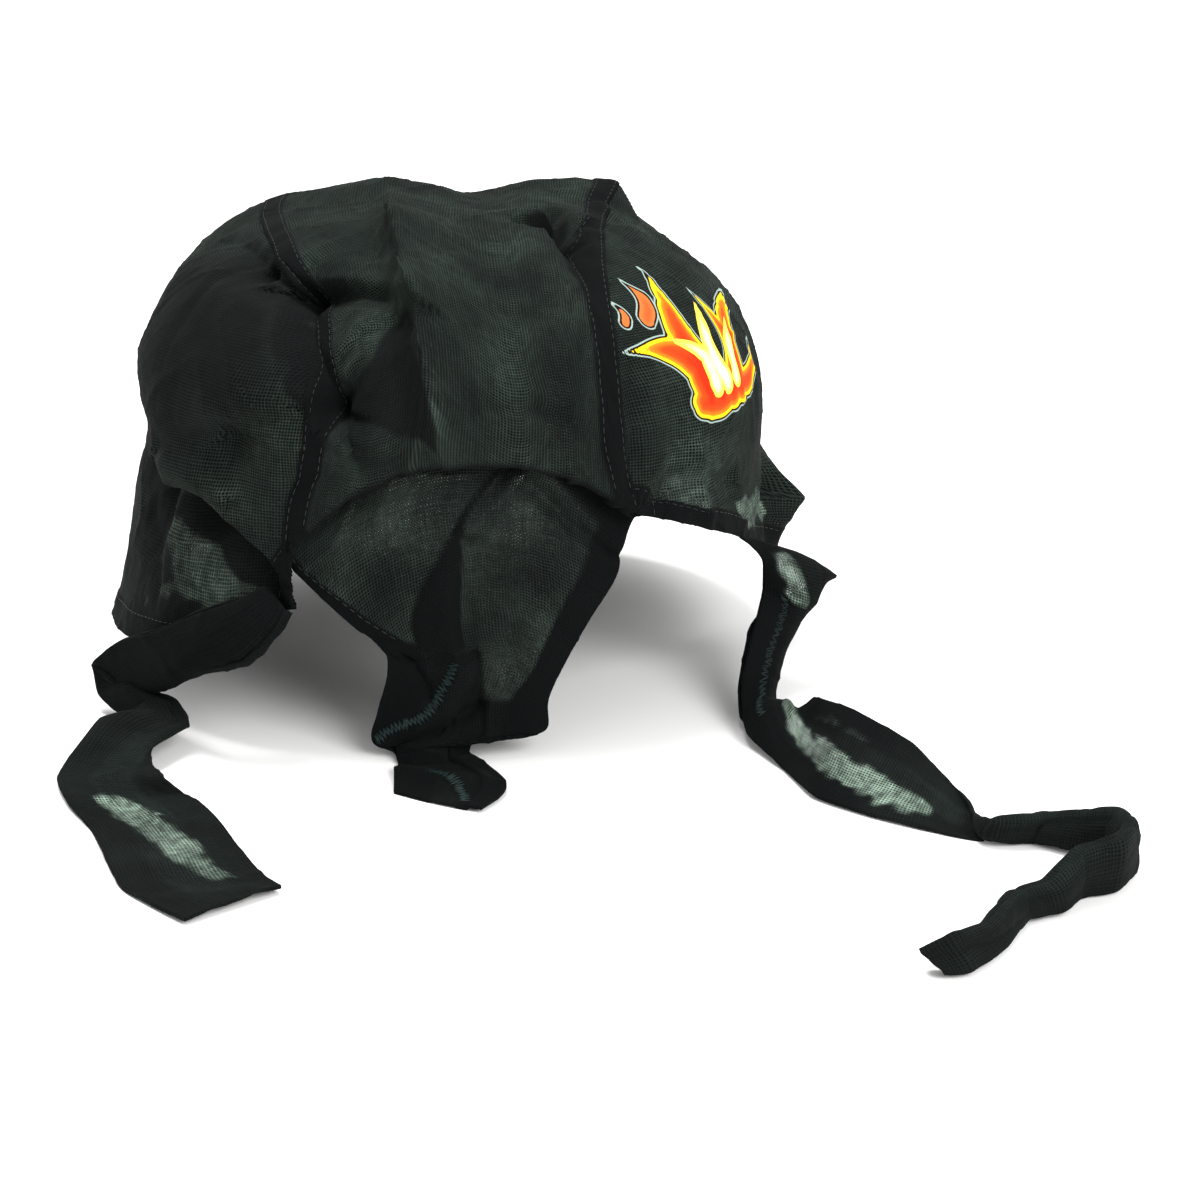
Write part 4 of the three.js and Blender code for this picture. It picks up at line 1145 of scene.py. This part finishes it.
# Polyester sewing thread, lightly shiny: grey on the seams and hems, dark teal on the tacked ends
threads = {
    "grey": "#232a28",
    "teal": "#0d2524",
    "roughness": 0.55,
    "thickness": 0.2,
    "stitch": 2.1,
    "pitch": 2.7,
    "lift": 0.03,
    "twist": 900.0,          # the twist of the plies, a metre
    "dark": 0.55,
    "tailZigzag": {"width": 3.8, "pitch": 1.2, "seed": 5},
    "tieZigzag": {"width": 3.2, "pitch": 2.4, "seed": 6},
    # The tie's tacking runs from its root to its leaf-shaped part, in shares of its length and width
    "tieTack": {"first": 0.09, "last": 0.265, "column": 0.2},
}


def threadMaterial(name, colour, p):
    material, tree = newMaterial(name)
    spot = addNode(tree, "ShaderNodeTexCoord").outputs["Object"]
    twist = addNode(tree, "ShaderNodeTexNoise", {"Vector": spot, "Scale": p["twist"], "Detail": 2.0})
    dark = tuple(v * p["dark"] for v in toLinear(colour)[:3]) + (1.0,)
    tone = addNode(tree, "ShaderNodeMix", {"Factor": twist, "A": dark, "B": toLinear(colour)},
                   data_type="RGBA")
    bump = addNode(tree, "ShaderNodeBump", {"Height": twist, "Strength": 0.4, "Distance": 0.05 * mm})
    shader = addNode(tree, "ShaderNodeBsdfPrincipled", {
        "Base Color": tone, "Roughness": p["roughness"], "Normal": bump, "Specular IOR Level": 0.3})
    addNode(tree, "ShaderNodeOutputMaterial", {"Surface": shader})
    return material


def stitchTree():
    # One stitch for each edge of the mesh it is given, as long as the edge
    tree = bpy.data.node_groups.new("stitches", "GeometryNodeTree")
    sockets = (("Runs", "INPUT", "Geometry"), ("Thickness", "INPUT", "Float"),
               ("Thread", "INPUT", "Material"), ("Stitches", "OUTPUT", "Geometry"))
    for name, way, kind in sockets:
        tree.interface.new_socket(name, in_out=way, socket_type="NodeSocket" + kind)
    inlet = addNode(tree, "NodeGroupInput").outputs
    ends = addNode(tree, "GeometryNodeInputMeshEdgeVertices").outputs
    run = addNode(tree, "ShaderNodeVectorMath", {0: ends["Position 2"], 1: ends["Position 1"]},
                  operation="SUBTRACT")
    keep = addNode(tree, "GeometryNodeCaptureAttribute", domain="EDGE")
    keep.capture_items.new("VECTOR", "Run")
    tree.links.new(inlet["Runs"], keep.inputs["Geometry"])
    tree.links.new(run.outputs[0], keep.inputs["Run"])
    kept = keep.outputs["Run"]
    spots = addNode(tree, "GeometryNodeMeshToPoints", {"Mesh": keep.outputs["Geometry"]}, mode="EDGES")
    body = addNode(tree, "GeometryNodeMeshUVSphere", {"Segments": 6, "Rings": 4, "Radius": 0.5})
    length = addNode(tree, "ShaderNodeVectorMath", {0: kept}, operation="LENGTH").outputs["Value"]
    scale = addNode(tree, "ShaderNodeCombineXYZ", {0: length, 1: inlet["Thickness"], 2: inlet["Thickness"]})
    turn = addNode(tree, "FunctionNodeAlignRotationToVector", {"Vector": kept}, axis="X")
    placed = addNode(tree, "GeometryNodeInstanceOnPoints", {
        "Points": spots.outputs[0], "Instance": body.outputs["Mesh"], "Rotation": turn.outputs[0],
        "Scale": scale.outputs[0]})
    real = addNode(tree, "GeometryNodeRealizeInstances", {"Geometry": placed.outputs[0]})
    done = addNode(tree, "GeometryNodeSetMaterial", {
        "Geometry": real.outputs[0], "Material": inlet["Thread"]})
    addNode(tree, "NodeGroupOutput", {"Stitches": done.outputs[0]})
    return tree


def lineAt(points, normals, field, value, lift):
    # The line on a grid where a field that runs across it has a value, just above the cloth
    rows = np.arange(points.shape[0])
    rising = field[:, -1].mean() > field[:, 0].mean()
    past = (field >= value) if rising else (field <= value)
    j = np.clip(np.argmax(past, axis=1), 1, points.shape[1] - 1)
    a, b = field[rows, j - 1], field[rows, j]
    t = np.clip((value - a) / np.where(np.abs(b - a) < 1e-9, 1, b - a), 0, 1)[:, None]
    place = points[rows, j - 1] * (1 - t) + points[rows, j] * t
    return place + normals[rows, j] * lift


def straightStitches(line, p):
    # Cuts a line into stitches with small gaps between them
    run = np.concatenate([[0], np.cumsum(np.linalg.norm(np.diff(line, axis=0), axis=1))])
    starts = np.arange(0.5, run[-1] - p["stitch"], p["pitch"])
    at = np.stack([starts, starts + p["stitch"]], -1).reshape(-1)
    spots = np.stack([np.interp(at, run, line[:, k]) for k in range(3)], -1)
    return spots.reshape(-1, 2, 3)


def zigzagStitches(line, side, width, pitch, seed):
    # A narrow zigzag along a line, sewn over twice and none too evenly; side is the way across it
    draws = np.random.default_rng(seed)
    run = np.concatenate([[0], np.cumsum(np.linalg.norm(np.diff(line, axis=0), axis=1))])
    at = np.arange(0, run[-1], pitch / 2)
    at = np.concatenate([at, at[::-1] + pitch / 3]) + draws.normal(0, pitch * 0.16, 2 * len(at))
    spots = np.stack([np.interp(at, run, line[:, k]) for k in range(3)], -1)
    across = unitRows(np.stack([np.interp(at, run, side[:, k]) for k in range(3)], -1))
    reach = width / 2 * draws.uniform(0.55, 1.15, len(at))
    spots = spots + across * (reach * np.where(np.arange(len(at)) % 2, 1, -1))[:, None]
    return np.stack([spots[:-1], spots[1:]], 1)


def makeStitches(name, runs, thread, tree, p):
    ends = np.concatenate(runs).reshape(-1, 3) * mm
    edges = np.arange(len(ends)).reshape(-1, 2)
    mesh = bpy.data.meshes.new(name + "Runs")
    mesh.from_pydata(ends.tolist(), edges.tolist(), [])
    source = addObject(name + "Runs", mesh)
    modifier = source.modifiers.new("stitches", "NODES")
    modifier.node_group = tree
    values = {"Thickness": p["thickness"] * mm, "Thread": thread}
    for item in tree.interface.items_tree:
        if item.in_out == "INPUT" and item.name in values:
            modifier[item.identifier] = values[item.name]
    bpy.context.view_layer.update()
    evaluated = source.evaluated_get(bpy.context.evaluated_depsgraph_get())
    piece = addObject(name, bpy.data.meshes.new_from_object(evaluated))
    bpy.data.objects.remove(source)
    piece.data.polygons.foreach_set("use_smooth", [True] * len(piece.data.polygons))
    return piece


print("stage: cloth laid out")
center, seamLines = makeCenterPanel(centerPanel)
print("stage: crown strip")
left, leftLines = makeSidePanel(-1, sidePanels)
right, rightLines = makeSidePanel(1, sidePanels)
print("stage: side panels")
tailPiece, tailLines, tailTacks = makeTail(tail)
leftTie, _, _ = makeTie(
    "leftTieCloth", tieLeftRows, ties, seed=71, openings=ties["leftOpen"], crease=1)
rightTie, rightGrid, rightShare = makeTie(
    "rightTieCloth", tieRightRows, ties, seed=91, openings=ties["rightOpen"], crease=0.45)
print("stage: tail and ties")

crownVoile = voileMaterial("blackCottonVoile", voile)
printedVoile = voileMaterial("blackCottonVoilePrinted", voile, printed=True)
tieVoile = voileMaterial("blackCottonVoileTie", {**voile, "relief": 0.8})    # lies closer, in folds
dressed = [
    (center, "center_panel", "cloth", crownVoile),
    (left, "left_panel", "cloth", crownVoile),
    (right, "right_panel", "cloth", printedVoile),
    (tailPiece, "tail", "cloth", crownVoile),
    (leftTie, "tie_left", "tie_cloth", tieVoile),
    (rightTie, "tie_right", "tie_cloth", tieVoile),
]
for piece, node, slot, finish in dressed:
    piece.data.materials.append(finish)
    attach(piece, "root")
    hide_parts(node)

greyThread = threadMaterial("greyPolyesterThread", threads["grey"], threads)
tealThread = threadMaterial("tealPolyesterThread", threads["teal"], threads)
stitches = stitchTree()


def stripLine(grid, share, first, last, column):
    # A line along a tie between two shares of its length, with the way across it
    chosen = (share[:, 0] >= first) & (share[:, 0] <= last)
    j = round(column * (grid.shape[1] - 1))
    lift = cloth["hemThickness"] / 2 + threads["lift"]
    line = grid[chosen, j] + gridNormals(grid)[chosen, j] * lift
    return line, grid[chosen, j + 1] - grid[chosen, j]


tieTack = stripLine(rightGrid, rightShare, **threads["tieTack"])
sewn = [
    ("seamStitches", [straightStitches(line, threads) for line in seamLines], greyThread, "cloth"),
    ("leftHemStitches", [straightStitches(line, threads) for line in leftLines], greyThread, "cloth"),
    ("rightHemStitches", [straightStitches(line, threads) for line in rightLines], greyThread, "cloth"),
    ("tailHemStitches", [straightStitches(line, threads) for line in tailLines], greyThread, "cloth"),
    ("tailTacks", [zigzagStitches(*tack, **threads["tailZigzag"]) for tack in tailTacks], tealThread,
     "cloth"),
    ("tieTack", [zigzagStitches(*tieTack, **threads["tieZigzag"])], tealThread, "tie_cloth"),
]
for name, runs, finish, slot in sewn:
    piece = makeStitches(name, runs, finish, stitches, threads)
    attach(piece, "root")
print("stage: sewn")

# The table and the light
studio = {
    "floorSize": 6,
    "floor": "#f6f6f5",
    "floorRoughness": 0.8,
    "world": 0.88,
    "lampAim": (0, 0, -0.1),
    # A softbox above the cap, a little behind it to its left, and a weaker one by the camera
    "lamps": [
        ("topSoftbox", (-0.22, 0.12, 1.3), 0.6, 23),
        ("frontSoftbox", (0.9, -1.1, 0.8), 0.9, 26),
    ],
}


def makeStudio(p):
    mesh = bpy.data.meshes.new("tableTop")
    h = p["floorSize"] / 2
    z = floorZ * mm
    mesh.from_pydata([(-h, -h, z), (h, -h, z), (h, h, z), (-h, h, z)], [], [(0, 1, 2, 3)])
    floor = addObject("tableTop", mesh)
    paper = bpy.data.materials.new("whitePaper")
    paper.use_nodes = True
    shader = paper.node_tree.nodes["Principled BSDF"]
    shader.inputs["Base Color"].default_value = toLinear(p["floor"])
    shader.inputs["Roughness"].default_value = p["floorRoughness"]
    mesh.materials.append(paper)
    world = bpy.data.worlds.new("studio")
    world.use_nodes = True
    sky = world.node_tree.nodes["Background"]
    sky.inputs["Color"].default_value = (1, 1, 1, 1)
    sky.inputs["Strength"].default_value = p["world"]
    bpy.context.scene.world = world
    bpy.context.scene.view_settings.view_transform = "Standard"
    for name, place, size, watts in p["lamps"]:
        data = bpy.data.lights.new(name, "AREA")
        data.size = size
        data.energy = watts
        light = addObject(name, data)
        light.location = place
        light.rotation_euler = (Vector(p["lampAim"]) - Vector(place)).to_track_quat("-Z", "Y").to_euler()


makeStudio(studio)
print("stage: done")
